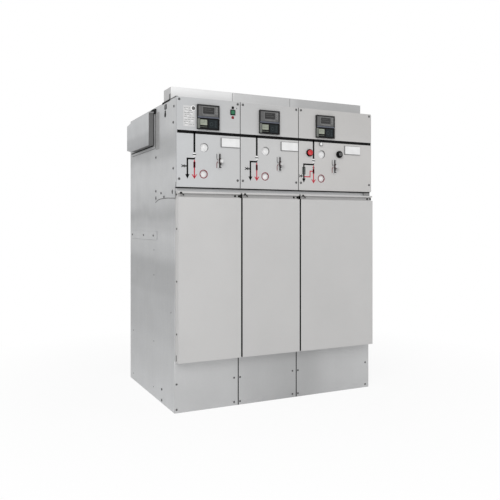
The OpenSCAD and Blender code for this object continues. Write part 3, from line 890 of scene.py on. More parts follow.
def side_strips():
    """Stiffening strips with rounded edges, screwed on."""
    bm = bmesh.new()
    for low, high in solids("side_strips"):
        eased_block(bm, low, high, 1.0, 1.0, 1)
    new_piece("stiffening_strips", bm, "galvanised_sheet", stands_for=["side_strips"])


def side_fasteners():
    """Screws, slotted screws and rivets of both side walls."""
    on_plate = ((5, 1360), (15, 1290), (15, 1086), (270, 1158), (270, 996), (190, 983), (146, 964))
    on_wall = ((182, 65), (182, 14))
    in_slots = ((28, 982), (270, 962))
    rivets = ((306, 713), (306, 591), (48, 440), (306, 270), (677, 266), (677, 34), (311, 47))
    for name, outward in (("left", LEFT), ("right", RIGHT)):
        raised = [side_place(outward, *at) + outward for at in on_plate + in_slots]
        flush = [side_place(outward, *at) for at in on_wall]
        fasteners(f"{name}_wall_screws", WALL_SCREW, outward, raised + flush, "dark_screw")
        fasteners(f"{name}_wall_rivets", BLIND_RIVET, outward, [side_place(outward, *at) for at in rivets])
        # Black patches around the slotted screws: painted shade in the slots.
        slots = bmesh.new()
        for at in in_slots:
            middle = side_place(outward, *at) + outward
            reach = Vector((0.3, 4.5, 10))
            eased_block(slots, middle - reach, middle + reach, 4, 0.1, 0)
        new_piece(f"{name}_wall_screw_slot_painted_shade", slots, "black_plastic", finish="rubber_and_shadow_black")
    low, high = box("side_strips")
    for name, outward, x in (("left", LEFT, low.x), ("right", RIGHT, high.x)):
        places = [Vector((x, plinth_face + depth, (low.z + high.z) / 2)) for depth in (685, 474, 306)]
        fasteners(f"{name}_strip_screws", PAN_SCREW, outward, places)


def front_fasteners():
    places = []
    for panel in PANELS:
        for height in (plate_foot + 36, top - 11.5):
            places.append(Vector((panel_left(panel) + 13.5, plate_face, height)))
            places.append(Vector((panel_right(panel) - 13, plate_face, height)))
    fasteners("front_plate_screws", PAN_SCREW, FRONT, places)
    places = []
    for panel in PANELS:
        for height in (16, 128):
            places.append(Vector((panel_left(panel) + 9.5, plinth_face, height)))
            places.append(Vector((panel_right(panel) - 21, plinth_face, height)))
    fasteners("plinth_screws", SMALL_SCREW, FRONT, places)
    for name, outward, x in (
        ("left", LEFT, box("cable_cover_1")[0].x), ("right", RIGHT, box("cable_cover_3")[1].x),
    ):
        places = [Vector((x, plinth_face - 18, height)) for height in (968, 817, 585, 353)]
        fasteners(f"{name}_cover_screws", SMALL_SCREW, outward, places, "dark_screw")


def rear_details():
    """Screws along the joints of the rear wall and the roof."""
    columns = [x + shift for x in panel_edges for shift in (-14, 14) if wall_left < x + shift < wall_right]
    places = [Vector((x, rear_face, height)) for x in columns for height in range(40, 1400, 220)]
    fasteners("rear_wall_screws", SMALL_SCREW, REAR, places)
    rows = (plinth_face + 25, plinth_face + 240, plinth_face + 460, rear_face - 25)
    fasteners("roof_screws", SMALL_SCREW, UP, [Vector((x, y, top)) for x in columns for y in rows])


def wall_openings():
    """Painted shade: black patches in openings high on the left wall and in a slot by the cover; painted
    shadow: dark strips under the wireway and along the roof's edge.
    """
    shade_sheets = bmesh.new()
    x = wall_left - 1

    def opening(depth_from, depth_to, z_from, z_to, radius):
        low = (x - 0.6, plinth_face + depth_from, z_from)
        eased_block(shade_sheets, low, (x + 0.5, plinth_face + depth_to, z_to), radius, 0.3, 0)

    # Black patches in the openings: painted shade.
    opening(107, 138, 1364, 1388, 6)
    opening(119, 136, 1342, 1360, 3)
    turned(shade_sheets, ((0, 0.7), (11.4, 0.8), (12, 0.5), (12, -0.6), (0, -0.6)),
           facing(LEFT, Vector((x, plinth_face + 128, 1341))), 28)
    new_piece("wall_opening_painted_shade", shade_sheets, "black_plastic", finish="rubber_and_shadow_black")
    bar = bmesh.new()
    eased_block(bar, (x - 1.2, plinth_face + 121, 1368), (x, plinth_face + 124, 1384), 0.6, 0.3, 0)
    new_piece("wall_opening_bar", bar, "galvanised_sheet")
    # A black strip under the wireway's end: painted shadow.
    seal = bmesh.new()
    start = plinth_face + 60
    low, high = (wall_left - 2.2, start, top - 6), (wall_left + 5, plinth_face + 170, top + 2.4)
    eased_block(seal, low, high, 0.5, 0.5, 1)
    new_piece("wireway_painted_shadow", seal, "black_plastic", finish="rubber_and_shadow_black")
    # A grey strip along the roof's edge to the plate's corner: painted shadow.
    edge_shadow = bmesh.new()
    left, front = wall_left - 1.6, plate_face - 0.4
    eased_block(edge_shadow, (left, front, top - 2.4), (wall_left + 1, start, top + 1.4), 0.5, 0.5, 1)
    low, high = (left, front, top - 1.2), (wall_left + 9, plate_face + 4, top + 1.2)
    eased_block(edge_shadow, low, high, 0.5, 0.4, 0)
    new_piece("roof_edge_painted_shadow", edge_shadow, "black_plastic", finish="joint_and_shadow_grey")
    # A black patch by the cover: painted shade in a slot.
    slot = bmesh.new()
    x = box("cable_cover_1")[0].x
    eased_block(slot, (x - 0.8, plinth_face - 15, 233), (x + 1, plinth_face - 10, 260), 2, 0.3, 0)
    new_piece("cover_side_slot_painted_shade", slot, "black_plastic", finish="rubber_and_shadow_black")


# ---------------------------------------------------------------- instruments

def case(bm, node, rim, recess):
    """A bezel with rounded corners and a recessed face, and the housing behind the plate."""
    low, high = box(node)
    known = set(bm.verts)
    verts = block(bm, low, (high.x, plate_face, high.z))
    ease(bm, [edge for edge in edges_of(verts) if runs_along(edge, 1)], 2.5, 3)
    added = [vert for vert in bm.verts if vert not in known]
    front = min(faces_of(added), key=lambda face: face.calc_center_median().y)
    bmesh.ops.inset_individual(bm, faces=[front], thickness=rim)
    bmesh.ops.translate(bm, vec=(0, recess, 0), verts=front.verts)
    added = [vert for vert in bm.verts if vert not in known]
    lips = [edge for edge in edges_of(added) if is_sharp(edge) and lies_at(edge, 1, low.y)]
    ease(bm, lips, 0.5, 2)
    inset = Vector((7, 0, 7))
    block(bm, (low.x + inset.x, plate_face, low.z + inset.z), high - inset)
    return low, high


def key(bm, x, z, face, radius=3.2, height=1.6):
    turned(bm, ((0, height), (radius * 0.7, height), (radius, height * 0.6), (radius, -0.5), (0, -0.5)),
           facing(FRONT, Vector((x, face, z))), 20)


def ringed(bm, x, z, face, outer, inner, height=0.7):
    """A raised ring on an instrument's face."""
    rounded = ((outer - 0.3, height), (outer, height - 0.3), (outer, -0.4))
    turned(bm, ((inner, -0.4), (inner, height), *rounded),
           facing(FRONT, Vector((x, face, z))), 24, ring=True)


def raised_plates(low, high, face):
    """Lays raised plates on an instrument's face, by their distance from its left edge and its top."""
    def on_face(made, x_from, x_to, drop_from, drop_to, proud, radius=1.0):
        start = (low.x + x_from, face - proud, high.z - drop_to)
        return eased_block(made, start, (low.x + x_to, face + 0.4, high.z - drop_from), radius, 0.15)
    return on_face


def fault_indicator(panel):
    """A recessed grey face with light strokes, a dark display, three ringed lamps and a blue-grey lip."""
    node = f"fault_indicator_{panel}"
    recess = 2
    bm = bmesh.new()
    low, high = case(bm, node, 5.5, recess)
    new_piece(f"{node}_case", bm, "housing_plastic", stands_for=[node])
    face = low.y + recess
    on_face = raised_plates(low, high, face)

    plate = bmesh.new()
    on_face(plate, 6, 101, 6, 52.5, 0.5, 1.5)
    new_piece(f"{node}_face", plate, "housing_plastic", finish="face_plastic")
    stroke = bmesh.new()
    start = (low.x + 24.5, face - 0.9, high.z - 43.5)
    window_frame(stroke, start, (low.x + 85, face - 0.2, high.z - 8.5), 1.8)
    on_face(stroke, 28, 83, 45, 48, 0.9)
    new_piece(f"{node}_strokes", stroke, "housing_plastic", finish="stroke_plastic")
    lip = bmesh.new()
    start = (low.x + 3, low.y - 0.1, low.z + 0.6)
    eased_block(lip, start, (high.x - 3, low.y + 1, low.z + 6.4), 1, 0.2)
    new_piece(f"{node}_lip", lip, "housing_plastic", finish="lip_plastic")
    screen = bmesh.new()
    on_face(screen, 28, 81.5, 12, 40, 1.0)
    new_piece(f"{node}_display", screen, "display")
    rows = bmesh.new()
    for drop, length in ((18, 34), (27, 44)):
        on_face(rows, 32, 32 + length, drop, drop + 3, 1.1, 0.4)
    new_piece(f"{node}_display_rows", rows, "display", finish="display_rows")
    rings, centres = bmesh.new(), bmesh.new()
    for drop in (14, 25, 36):
        ringed(rings, low.x + 93, high.z - drop, face - 0.5, 4.2, 2.2)
        key(centres, low.x + 93, high.z - drop, face - 0.4, 2.1, 0.9)
    new_piece(f"{node}_lamp_rings", rings, "housing_plastic", finish="lamp_lens")
    new_piece(f"{node}_lamps", centres, "housing_plastic")


def voltage_detector(panel):
    """A black case with a grey-green margin, a liquid crystal display and a keypad of faint rings."""
    node = f"voltage_detector_{panel}"
    recess = 2
    bm = bmesh.new()
    low, high = case(bm, node, 2.5, recess)
    new_piece(f"{node}_case", bm, "black_plastic", stands_for=[node])
    face = low.y + recess
    on_face = raised_plates(low, high, face)

    margin = bmesh.new()
    on_face(margin, 0.4, 12.5, 3, 46, recess + 0.1, 1.5)
    new_piece(f"{node}_margin", margin, "housing_plastic", finish="margin_plastic")
    keypad = bmesh.new()
    on_face(keypad, 55, 98, 5, 44, 0.5, 2)
    new_piece(f"{node}_keypad", keypad, "housing_plastic", finish="keypad_plastic")
    screen = bmesh.new()
    on_face(screen, 14.5, 47, 7, 31, 1.0)
    new_piece(f"{node}_lcd", screen, "display", finish="lcd")
    rows = bmesh.new()
    for drop in (12, 19):
        for column in range(4):
            on_face(rows, 18 + 7 * column, 23 + 7 * column, drop, drop + 4, 1.1, 0.3)
    on_face(rows, 14.5, 47, 38, 39.2, 0.6, 0.3)
    new_piece(f"{node}_lcd_rows", rows, "display", finish="lcd_segments")
    rings = bmesh.new()
    ringed(rings, low.x + 68, high.z - 25, face - 0.5, 8, 6.6, 0.5)
    for drop in (14, 25, 36):
        ringed(rings, low.x + 88, high.z - drop, face - 0.5, 3.8, 2.6, 0.5)
    new_piece(f"{node}_key_rings", rings, "housing_plastic", finish="key_plastic")


# ---------------------------------------------------------------- controls

def lever_sockets(panel):
    """The load socket sits behind the plate; the earthing socket has a red ring in front of it."""
    node = f"lever_sockets_{panel}"
    cups, shutters, ring = bmesh.new(), bmesh.new(), bmesh.new()
    earthing, load = sorted(solids(node), key=lambda ends: ends[0].z)
    for ends, depth, rise in ((load, 8.5, 3.2), (earthing, 6.0, 3.0)):
        hole = (ends[1].x - ends[0].x) / 2 - 2
        place = facing(FRONT, middle_of(ends, plate_face))
        turned(cups, ((hole - 0.9, -depth - 3), (hole - 0.9, -1.9), (hole - 0.7, -1.5), (hole - 0.3, -1.5),
                      (hole - 0.3, -depth - 3)), place, 48, ring=True)
        turned(shutters, ((0, -depth + 0.5), (rise, -depth + 0.5), (rise + 0.5, -depth), (hole - 1, -depth),
                          (hole - 1, -depth - 3), (0, -depth - 3)), place, 48)
    rim = (earthing[1].x - earthing[0].x) / 2
    turned(ring, ((rim - 4.4, -1.0), (rim - 4.4, 0.7), (rim - 3.9, 1.0), (rim - 1.4, 1.0), (rim - 1.0, 0.5),
                  (rim - 1.0, 0.0), (rim - 2.4, 0.0), (rim - 2.4, -1.0)),
           facing(FRONT, middle_of(earthing, plate_face)), 48, ring=True)
    new_piece(f"{node}_cups", cups, "white_plastic", stands_for=[node], finish="socket_plastic")
    new_piece(f"{node}_shutters", shutters, "white_plastic")
    new_piece(f"earthing_socket_ring_{panel}", ring, "red_plastic", finish="ring_red")


def position_windows():
    """Round windows in the diagram: a light drum with a black bar that lies across it."""
    rings, drums, bars = bmesh.new(), bmesh.new(), bmesh.new()
    for ends in solids("position_indicators"):
        middle = middle_of(ends, plate_face)
        radius = (ends[1].x - ends[0].x) / 2
        place = facing(FRONT, middle)
        inner = radius - 1.3
        turned(rings, ((inner, -0.5), (inner, 0.8), (radius - 0.4, 0.8), (radius, 0.5), (radius, -0.5)),
               place, 32, ring=True)
        turned(drums, ((0, 0.6), (radius - 1.4, 0.5), (radius - 1.4, -3), (0, -3)), place, 32)
        low, high = Vector((-radius, -1.0, -2.5)), Vector((radius, -0.3, 2.5))
        eased_block(bars, middle + low, middle + high, 0.4, 0.1)
    new_piece("position_window_rings", rings, "white_plastic", stands_for=["position_indicators"])
    new_piece("position_window_drums", drums, "white_plastic")
    new_piece("position_window_bars", bars, "mimic_black")


def label_holders():
    """Trays whose grey left and lower rims are a painted shadow of the cards, and the blank white cards in
    them.
    """
    holders, cards = bmesh.new(), bmesh.new()
    for low, high in solids("label_holders"):
        eased_block(holders, low + Vector((0, 1.4, 0)), high, 1, 0.3)
        # The left and lower rims: painted shadow beside and under the card.
        eased_block(holders, low, (low.x + 4, high.y, high.z), 0.8, 0.4)
        eased_block(holders, low, (high.x, high.y, low.z + 2.2), 0.8, 0.4)
        eased_block(holders, (low.x, low.y + 1, high.z - 1), (high.x, high.y, high.z), 0.4, 0.3)
        start = (low.x + 4.5, low.y + 0.7, low.z + 2.6)
        eased_block(cards, start, (high.x - 0.5, low.y + 1.6, high.z - 1.4), 0.6, 0.2)
    new_piece(
        "label_holder_painted_shadow_rims", holders, "housing_plastic", stands_for=["label_holders"],
        finish="tray_plastic",
    )
    new_piece("label_cards", cards, "label_white")


def nameplate():
    """A blank rating plate with ruled lines and pale fields, and a round seal in its upper right corner."""
    low, high = box("nameplate")
    bm = bmesh.new()
    eased_block(bm, low, high, 2, 0.15)
    new_piece("rating_plate", bm, "label_white", stands_for=["nameplate"], finish="rating_film")
    rules, fields = bmesh.new(), bmesh.new()
    face = low.y - 0.08
    for row in range(8):
        z = high.z - 12 - 10.2 * row
        start = low.x + 4 + 4 * (row % 2)
        for word in range(3):
            length = 7 + 4 * ((row * 5 + word * 3) % 3)
            end = min(start + length, high.x - (20 if row == 0 else 4))
            if (row + word) % 3 == 1:
                block(fields, (start, face, z - 5.5), (end, low.y + 0.1, z - 0.5))
            block(rules, (start, face, z), (end, low.y + 0.1, z + 2.4))
            start += length + 4
    new_piece("rating_plate_rules", rules, "label_white", finish="rule_grey")
    new_piece("rating_plate_fields", fields, "label_white")
    at = Vector((high.x - 8, low.y, high.z - 10))
    ring = bmesh.new()
    turned(ring, ((8.6, -0.2), (8.6, 0.5), (11.6, 0.5), (12, 0.2), (12, -0.2)),
           facing(FRONT, at), 28, ring=True)
    new_piece("rating_plate_seal_ring", ring, "white_plastic")
    seal = bmesh.new()
    turned(seal, ((0, 0.8), (7.6, 1.0), (8.6, 0.6), (8.6, -0.2), (0, -0.2)), facing(FRONT, at), 28)
    new_piece("rating_plate_seal", seal, "housing_plastic", finish="seal_print")


def ready_indicator():
    """The gas pressure indicator: a square bezel and green lens, between a black cap and a red marker."""
    low, high = box("pressure_indicator")
    middle = middle_of((low, high), low.y)
    bm = bmesh.new()
    eased_block(bm, low, (high.x, plate_face, high.z), 3, 0.8)
    turned(bm, ((0, 0), (9, 0), (9, -14), (0, -14)),
           facing(FRONT, Vector((middle.x, plate_face, middle.z))), 24)
    turned(bm, ((0, 3.0), (4.8, 2.8), (6, 1.8), (6, -0.5), (0, -0.5)),
           facing(FRONT, Vector((middle.x, plate_face, high.z + 9))), 24)
    new_piece("ready_indicator_bezel", bm, "black_plastic", stands_for=["pressure_indicator"])
    lens = bmesh.new()
    half = 8.5
    start = (middle.x - half, low.y - 0.8, middle.z - half)
    eased_block(lens, start, (middle.x + half, low.y + 1, middle.z + half), 2, 0.5)
    new_piece("ready_indicator_lens", lens, "green_lens")
    marker = bmesh.new()
    turned(marker, ((0, 2.4), (5, 2.0), (6.5, 1.2), (6.5, -0.5), (0, -0.5)),
           facing(FRONT, Vector((middle.x, plate_face, low.z - 11))), 24)
    new_piece("ready_indicator_marker", marker, "red_plastic", finish="marker_red")
    pin = bmesh.new()
    turned(pin, ((0, 0.7), (1.5, 0.7), (2, 0.3), (2, -0.3), (0, -0.3)),
           facing(FRONT, Vector((panel_left(1) + 292, plate_face, top - 31))), 16)
    new_piece("ready_indicator_pin", pin, "black_plastic")


def trip_indicator():
    """A raised round window with a white flag behind it."""
    ends = box("trip_indicator")
    middle = middle_of(ends, plate_face)
    radius = (ends[1].x - ends[0].x) / 2
    proud = plate_face - ends[0].y
    place = facing(FRONT, middle)
    bm = bmesh.new()
    turned(bm, ((radius - 2.4, -0.5), (radius - 2.4, proud - 0.5), (radius - 1.8, proud),
                (radius - 0.7, proud), (radius, proud - 0.8), (radius, -0.5)), place, 36, ring=True)
    new_piece(
        "trip_indicator_ring", bm, "white_plastic", stands_for=["trip_indicator"], finish="tray_plastic",
    )
    lens = bmesh.new()
    turned(lens, ((0, proud - 0.6), (4, proud - 0.7), (radius - 2.5, proud - 1.4), (radius - 2.5, -3),
                  (0, -3)), place, 36)
    new_piece("trip_indicator_flag", lens, "white_plastic")


def gate_guides():
    """Light guide plates around the gate slots, with the slots' black walls as painted shade and two tabs
    at the right as painted shadow.
    """
    bm = merged("gate_guides")
    front = corners(bm.verts)[0].y
    slot_shade = bmesh.new()
    for low, high in solids("gate_guides"):
        outer = sharp_edges(
            bm, lambda edge: runs_along(edge, 1),
            lambda edge: lies_at(edge, 0, low.x) or lies_at(edge, 0, high.x),
        )
        ease(bm, outer, 3, 3)
        rim = GUIDE_RIM
        inner_low = Vector((low.x + rim - 0.4, front + 0.6, low.z + rim - 0.4))
        inner_high = Vector((high.x - rim + 0.4, plate_face + 2.2, high.z - rim + 0.4))
        # Black walls and a back in each slot: painted shade.
        window_frame(slot_shade, inner_low, inner_high, 0.7)
        back = plate_face + 5.5
        block(slot_shade, (inner_low.x, back, inner_low.z), (inner_high.x, back + 1, inner_high.z))
        # Two black tabs at the slot's right: painted shadow below the knob.
        for drop, length in ((17, 4.5), (29, 3.5)):
            z = (low.z + high.z) / 2 - drop
            start = (inner_high.x - 1.2, front - 0.4, z - 1.6)
            block(slot_shade, start, (inner_high.x + length, front + 0.6, z + 1.6))
    ease(bm, sharp_edges(bm, lambda edge: lies_at(edge, 1, front)), 0.6, 2)
    piece("gate_guide_plates", bm, "light_grey_plastic", stands_for=["gate_guides"], finish="guide_plastic")
    new_piece("gate_slot_painted_shade", slot_shade, "black_plastic", finish="shadow_black")


def gate_knob(panel):
    """A dark grip with a light cap, on its stem through the slot; the grip's foot is a painted shadow."""
    node = f"gate_knob_{panel}"
    low, high = box(node)
    middle = (low + high) / 2
    split = plate_face - 9
    rear = plate_face - 3.6
    slot = middle.x - 3
    bm = bmesh.new()
    eased_block(bm, (slot - 4, split - 2, low.z), (slot + 4, rear, high.z), 2, 0.8)
    # The grip's foot, reaching right: painted shadow below the cap.
    eased_block(bm, (slot - 4, split - 4, low.z), (slot + 7.5, rear, low.z + 4), 1.5, 0.6)
    block(bm, (slot - 2.4, rear - 0.5, middle.z - 5), (slot + 2.4, high.y, middle.z + 5))
    block(bm, (slot - 8, high.y - 2, middle.z - 5), (slot + 8, high.y, middle.z + 5))
    new_piece(f"{node}_grip", bm, "knob_plastic", body=node, stands_for=[node])
    cap = bmesh.new()
    eased_block(cap, (slot - 0.5, low.y, low.z + 3), (high.x - 0.2, split + 3, high.z - 6), 3, 1.5)
    # One part in two colours: the first panel's cap is painted lit, the others painted in shade.
    shade = "lit_knob_cap" if panel == 1 else "shaded_knob_cap"
    new_piece(f"{node}_cap", cap, "knob_plastic", body=node, finish=shade)


def push_buttons():
    """Two caps in their collars: a red one, and a black one with a grey ring and dot on its face as painted
    highlights.
    """
    collars = bmesh.new()
    for ends in solids("button_collars"):
        radius = (ends[1].x - ends[0].x) / 2
        proud = plate_face - ends[0].y
        turned(collars, ((radius - 3.4, 0), (radius - 3.4, proud - 1), (radius - 2.8, proud),
                         (radius - 1.2, proud), (radius, proud - 1.6), (radius, 0)),
               facing(FRONT, middle_of(ends, plate_face)), 48, ring=True)
    new_piece("push_button_collars", collars, "black_plastic", stands_for=["button_collars"])
    for node, slot in (("red_button", "red_plastic"), ("black_button", "black_plastic")):
        ends = box(node)
        rim = (ends[1].x - ends[0].x) / 2
        cap = rim - 2
        depth = ends[1].y - ends[0].y
        bm = bmesh.new()
        turned(bm, ((0, -1.0), (cap - 5, -0.8), (cap - 3, 0), (cap - 1.2, -0.4), (cap - 0.2, -1.6),
                    (cap, -2.8), (cap, -depth + 2), (rim, -depth + 2), (rim, -depth), (0, -depth)),
               facing(FRONT, middle_of(ends, ends[0].y)), 48)
        new_piece(f"{node}_cap", bm, slot, body=node, stands_for=[node])
    ends = box("black_button")
    place = facing(FRONT, middle_of(ends, ends[0].y))
    bm = bmesh.new()
    # A grey ring and dot on the black cap: painted highlights.
    turned(bm, ((4.6, -1.2), (4.6, -0.5), (5.4, -0.2), (7.0, -0.2), (7.6, -0.6), (7.6, -1.2)),
           place, 32, ring=True)
    turned(bm, ((0, -0.4), (1.6, -0.5), (2.2, -0.9), (2.2, -1.4), (0, -1.4)), place, 24)
    new_piece("black_button_painted_highlight", bm, "black_plastic", body="black_button", finish="stroke_plastic")


# ---------------------------------------------------------------- mimic diagram

FILM = 0.25


def printed(bm, outline):
    """A printed area on the plates, from its outline in (x, z)."""
    prism(bm, outline, 1, plate_face + 0.05, plate_face - FILM)


def strip(bm, start, end, width):
    """A printed line between two places; square ends reach half a width further."""
    half = width / 2
    left, right = min(start[0], end[0]) - half, max(start[0], end[0]) + half
    foot, head = min(start[1], end[1]) - half, max(start[1], end[1]) + half
    printed(bm, [(left, foot), (right, foot), (right, head), (left, head)])


def slanted(bm, x, z, length, width, angle):
    """A short printed line about its middle, at an angle to the horizontal."""
    along = Vector((math.cos(math.radians(angle)), math.sin(math.radians(angle)))) * length / 2
    across = along.orthogonal().normalized() * width / 2
    middle = Vector((x, z))
    ends = middle + along, middle - along
    printed(bm, [ends[0] + across, ends[0] - across, ends[1] - across, ends[1] + across])


def arrow_head(bm, x, tip, length, width):
    printed(bm, [(x - width / 2, tip + length), (x, tip), (x + width / 2, tip + length)])


def open_arrow_head(bm, x, tip, length, width, line):
    """A printed chevron that points down."""
    half = width / 2
    slope = math.hypot(half, length)
    inner = line * slope / length
    printed(bm, [
        (x - half, tip + length), (x, tip), (x + half, tip + length), (x + half - inner, tip + length),
        (x, tip + line * slope / half), (x - half + inner, tip + length),
    ])


def gate_path(bm, x, z, turn):
    """A printed line that leads from the gate's middle to one of its ends."""
    radius, half = 16, 1.6
    outer, inner = [(x - 14 - half, z + turn * 32)], [(x - 14 + half, z + turn * 32)]
    for step in range(9):
        angle = math.radians(63) * step / 8
        for side, reach in ((outer, radius + half), (inner, radius - half)):
            side.append((x + 2 - reach * math.cos(angle), z + turn * (15 - reach * math.sin(angle))))
    printed(bm, outer + inner[::-1])


def mimic_diagram(panel):
    """The single-line diagram: the busbar, the feeder line with its switch, and its earthing branch."""
    left, right = panel_left(panel), panel_right(panel)
    low, high = solids("position_indicators")[panel - 1]
    feeder = (low.x + high.x) / 2
    window = (low.z + high.z) / 2
    busbar = box("voltage_detector_1")[0].z - 14.7
    knee = window - 18.5
    tip = plate_foot + 37
    with_fuse = panel == 3
    branch = left + (30 if with_fuse else 52)

    black, stubs = bmesh.new(), bmesh.new()
    ends = (left + (4 if panel == 1 else 1.1), right - (4 if panel == 3 else 1.1))
    foot, head = busbar - 6.8, busbar + 6.8
    printed(black, [(ends[0], foot), (ends[1], foot), (ends[1], head), (ends[0], head)])
    strip(black, (feeder, busbar - 2), (feeder, window + 14.5), 9)
    slanted(black, feeder + 1, window - 15, 9, 3, 50)
    strip(black, (branch, knee), (feeder - 1, knee), 7.5)
    strip(black, (branch, knee), (branch, tip + 22), 7.5)
    arrow_head(black, branch, tip, 20, 20)
    cross_x, cross_z = (branch - 19, tip + 32) if with_fuse else (branch - 20.5, tip + 56)
    reach = 20 if with_fuse else 18.5
    for angle in (-37, 37):
        slanted(black, cross_x, cross_z, reach, 3.4, angle)
    strip(stubs, (cross_x + 6, cross_z), (branch - 7.5, cross_z), 5 if with_fuse else 8)

    red, thick = bmesh.new(), bmesh.new()
    strip(red, (feeder, knee - 8), (feeder, tip + 10), 5.5)
    block_foot, block_head = (tip + 46, tip + 68) if with_fuse else (tip + 50, tip + 76)
    strip(thick, (feeder, block_foot + 5), (feeder, block_head - 5), 10)
    open_arrow_head(red, feeder, tip - (2.5 if with_fuse else 0), 20, 26, 4.5)

    if with_fuse:
        slanted(black, feeder, tip + 74, 16, 2.4, 0)
        fuse_low, fuse_high = Vector((branch - 9, tip + 40)), Vector((branch + 9, tip + 76))
        fuse = bmesh.new()
        printed(fuse, [fuse_low, (fuse_high.x, fuse_low.y), fuse_high, (fuse_low.x, fuse_high.y)])
        new_piece("fuse_symbol", fuse, "mimic_black", finish="fuse_grey")
        outline = bmesh.new()
        start = (fuse_low.x, plate_face - FILM - 0.15, fuse_low.y)
        window_frame(outline, start, (fuse_high.x, plate_face, fuse_high.y), 2.4)
        start = (branch - 1.4, plate_face - FILM - 0.1, fuse_low.y + 2)
        block(outline, start, (branch + 1.4, plate_face, fuse_high.y - 2))
        new_piece("fuse_symbol_outline", outline, "mimic_black")
        strip(red, (branch, tip + 29), (left + 65, tip + 29), 5)
        strip(red, (left + 65, tip + 34), (left + 65, tip + 52), 5)
        strip(red, (left + 65, tip + 57), (feeder - 6, tip + 57), 5)

    gate_low, gate_high = solids("gate_guides")[panel - 1]
    gate = (gate_low + gate_high) / 2
    gate_path(stubs, gate.x, gate.z, 1)
    gate_path(thick, gate.x, gate.z, -1)
    new_piece(f"mimic_diagram_black_{panel}", black, "mimic_black")
    new_piece(f"mimic_diagram_grey_{panel}", stubs, "mimic_black", finish="mimic_grey")
    new_piece(f"mimic_diagram_red_{panel}", red, "mimic_red")
    new_piece(f"mimic_diagram_dark_red_{panel}", thick, "mimic_red", finish="mimic_dark_red")


# ---------------------------------------------------------------- stage

def joined(tree, operation, *inputs):
    """A maths node on two inputs, each a socket or a number."""
    node = tree.nodes.new("ShaderNodeMath")
    node.operation = operation
    for socket, value in zip(node.inputs, inputs):
        if isinstance(value, bpy.types.NodeSocket):
            tree.links.new(value, socket)
        else:
            socket.default_value = value
    return node.outputs[0]


def floor():
    """A pale floor that keeps the soft shadow and fades into the white backdrop."""
    bm = bmesh.new()
    bmesh.ops.create_grid(bm, x_segments=1, y_segments=1, size=12.0)
    mesh = bpy.data.meshes.new("studio_floor")
    bm.to_mesh(mesh)
    bm.free()
    made = bpy.data.objects.new("studio_floor", mesh)
    bpy.context.scene.collection.objects.link(made)
    pale = bpy.data.materials.new("studio_floor_white")
    pale.use_nodes = True
    tree = pale.node_tree
    distance = tree.nodes.new("ShaderNodeVectorMath")
    distance.operation = "LENGTH"
    tree.links.new(tree.nodes.new("ShaderNodeTexCoord").outputs["Object"], distance.inputs[0])
    fade = tree.nodes.new("ShaderNodeMapRange")
    for socket, number in zip(("From Min", "From Max", "To Min", "To Max"), (0.8, 1.9, 0.88, 1.0)):
        fade.inputs[socket].default_value = number
    tree.links.new(distance.outputs["Value"], fade.inputs["Value"])
    seen = tree.nodes.new("ShaderNodeLightPath")
    share = joined(tree, "MULTIPLY", seen.outputs["Is Camera Ray"], fade.outputs["Result"])
    lit = tree.nodes.new("ShaderNodeBsdfDiffuse")
    lit.inputs["Color"].default_value = (0.9, 0.9, 0.9, 1)
    bright = tree.nodes.new("ShaderNodeEmission")
    mixed = tree.nodes.new("ShaderNodeMixShader")
    tree.links.new(share, mixed.inputs[0])
    tree.links.new(lit.outputs[0], mixed.inputs[1])
    tree.links.new(bright.outputs[0], mixed.inputs[2])
    tree.links.new(mixed.outputs[0], tree.nodes["Material Output"].inputs["Surface"])
    mesh.materials.append(pale)


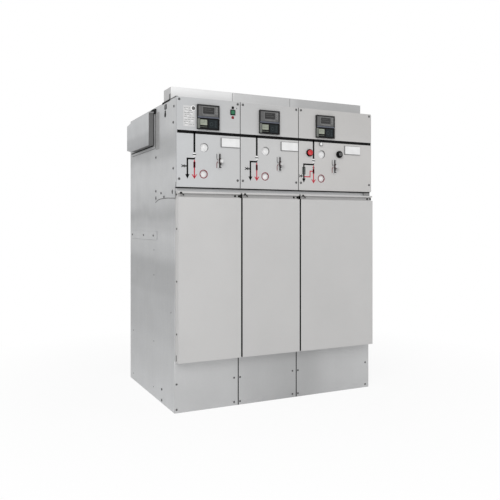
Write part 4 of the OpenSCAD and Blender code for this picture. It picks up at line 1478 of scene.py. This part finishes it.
def backdrop(strength):
    """White to the camera and in reflections, and an even soft light for everything else."""
    world = bpy.data.worlds.new("studio")
    bpy.context.scene.world = world
    world.use_nodes = True
    tree = world.node_tree
    seen = tree.nodes.new("ShaderNodeLightPath")
    direct = joined(tree, "MAXIMUM", seen.outputs["Is Camera Ray"], seen.outputs["Is Glossy Ray"])
    any_of = joined(tree, "MAXIMUM", direct, seen.outputs["Is Transmission Ray"])
    soft = tree.nodes["Background"]
    soft.inputs["Color"].default_value = (1, 1, 1, 1)
    soft.inputs["Strength"].default_value = strength
    white = tree.nodes.new("ShaderNodeBackground")
    white.inputs["Color"].default_value = (1, 1, 1, 1)
    mixed = tree.nodes.new("ShaderNodeMixShader")
    tree.links.new(any_of, mixed.inputs[0])
    tree.links.new(soft.outputs[0], mixed.inputs[1])
    tree.links.new(white.outputs[0], mixed.inputs[2])
    tree.links.new(mixed.outputs[0], tree.nodes["World Output"].inputs["Surface"])


def lamp(name, place, target, size, power):
    data = bpy.data.lights.new(name, "AREA")
    data.size = size
    data.energy = power
    made = bpy.data.objects.new(name, data)
    made.location = place
    made.rotation_euler = (Vector(target) - Vector(place)).to_track_quat("-Z", "Y").to_euler()
    bpy.context.scene.collection.objects.link(made)


def camera():
    """Stands level to the left of the front, and takes in the front and the left side."""
    data = bpy.data.cameras.new("camera")
    data.lens = 44.67
    data.sensor_width = 36
    data.shift_y = -0.0511
    made = bpy.data.objects.new("camera", data)
    made.location = (-1.4243, -2.9782, 0.8364)
    made.rotation_euler = (math.radians(90), 0, math.radians(-25.94))
    bpy.context.scene.collection.objects.link(made)
    bpy.context.scene.camera = made


walls()
mechanism_side_plates()
hidden_structure()
plinth_covers()
front_plates()
cable_covers()
cover_fittings()
seam_painted_shadows()
joint_strip()
wireway()
end_cover()
side_strips()
side_fasteners()
front_fasteners()
rear_details()
wall_openings()
for number in PANELS:
    fault_indicator(number)
    voltage_detector(number)
    lever_sockets(number)
    gate_knob(number)
    mimic_diagram(number)
position_windows()
label_holders()
nameplate()
ready_indicator()
trip_indicator()
gate_guides()
push_buttons()

middle_of_block = (0, 0, ROOF_HEIGHT / 2)
softbox = 2.6
soft_light = 0.58
floor()
backdrop(soft_light)
lamp("key", (-2.6, -3.2, 3.4), middle_of_block, softbox, 100)
lamp("fill", (3.4, -2.6, 2.4), middle_of_block, softbox, 24)
camera()
bpy.context.scene.view_settings.view_transform = "Standard"
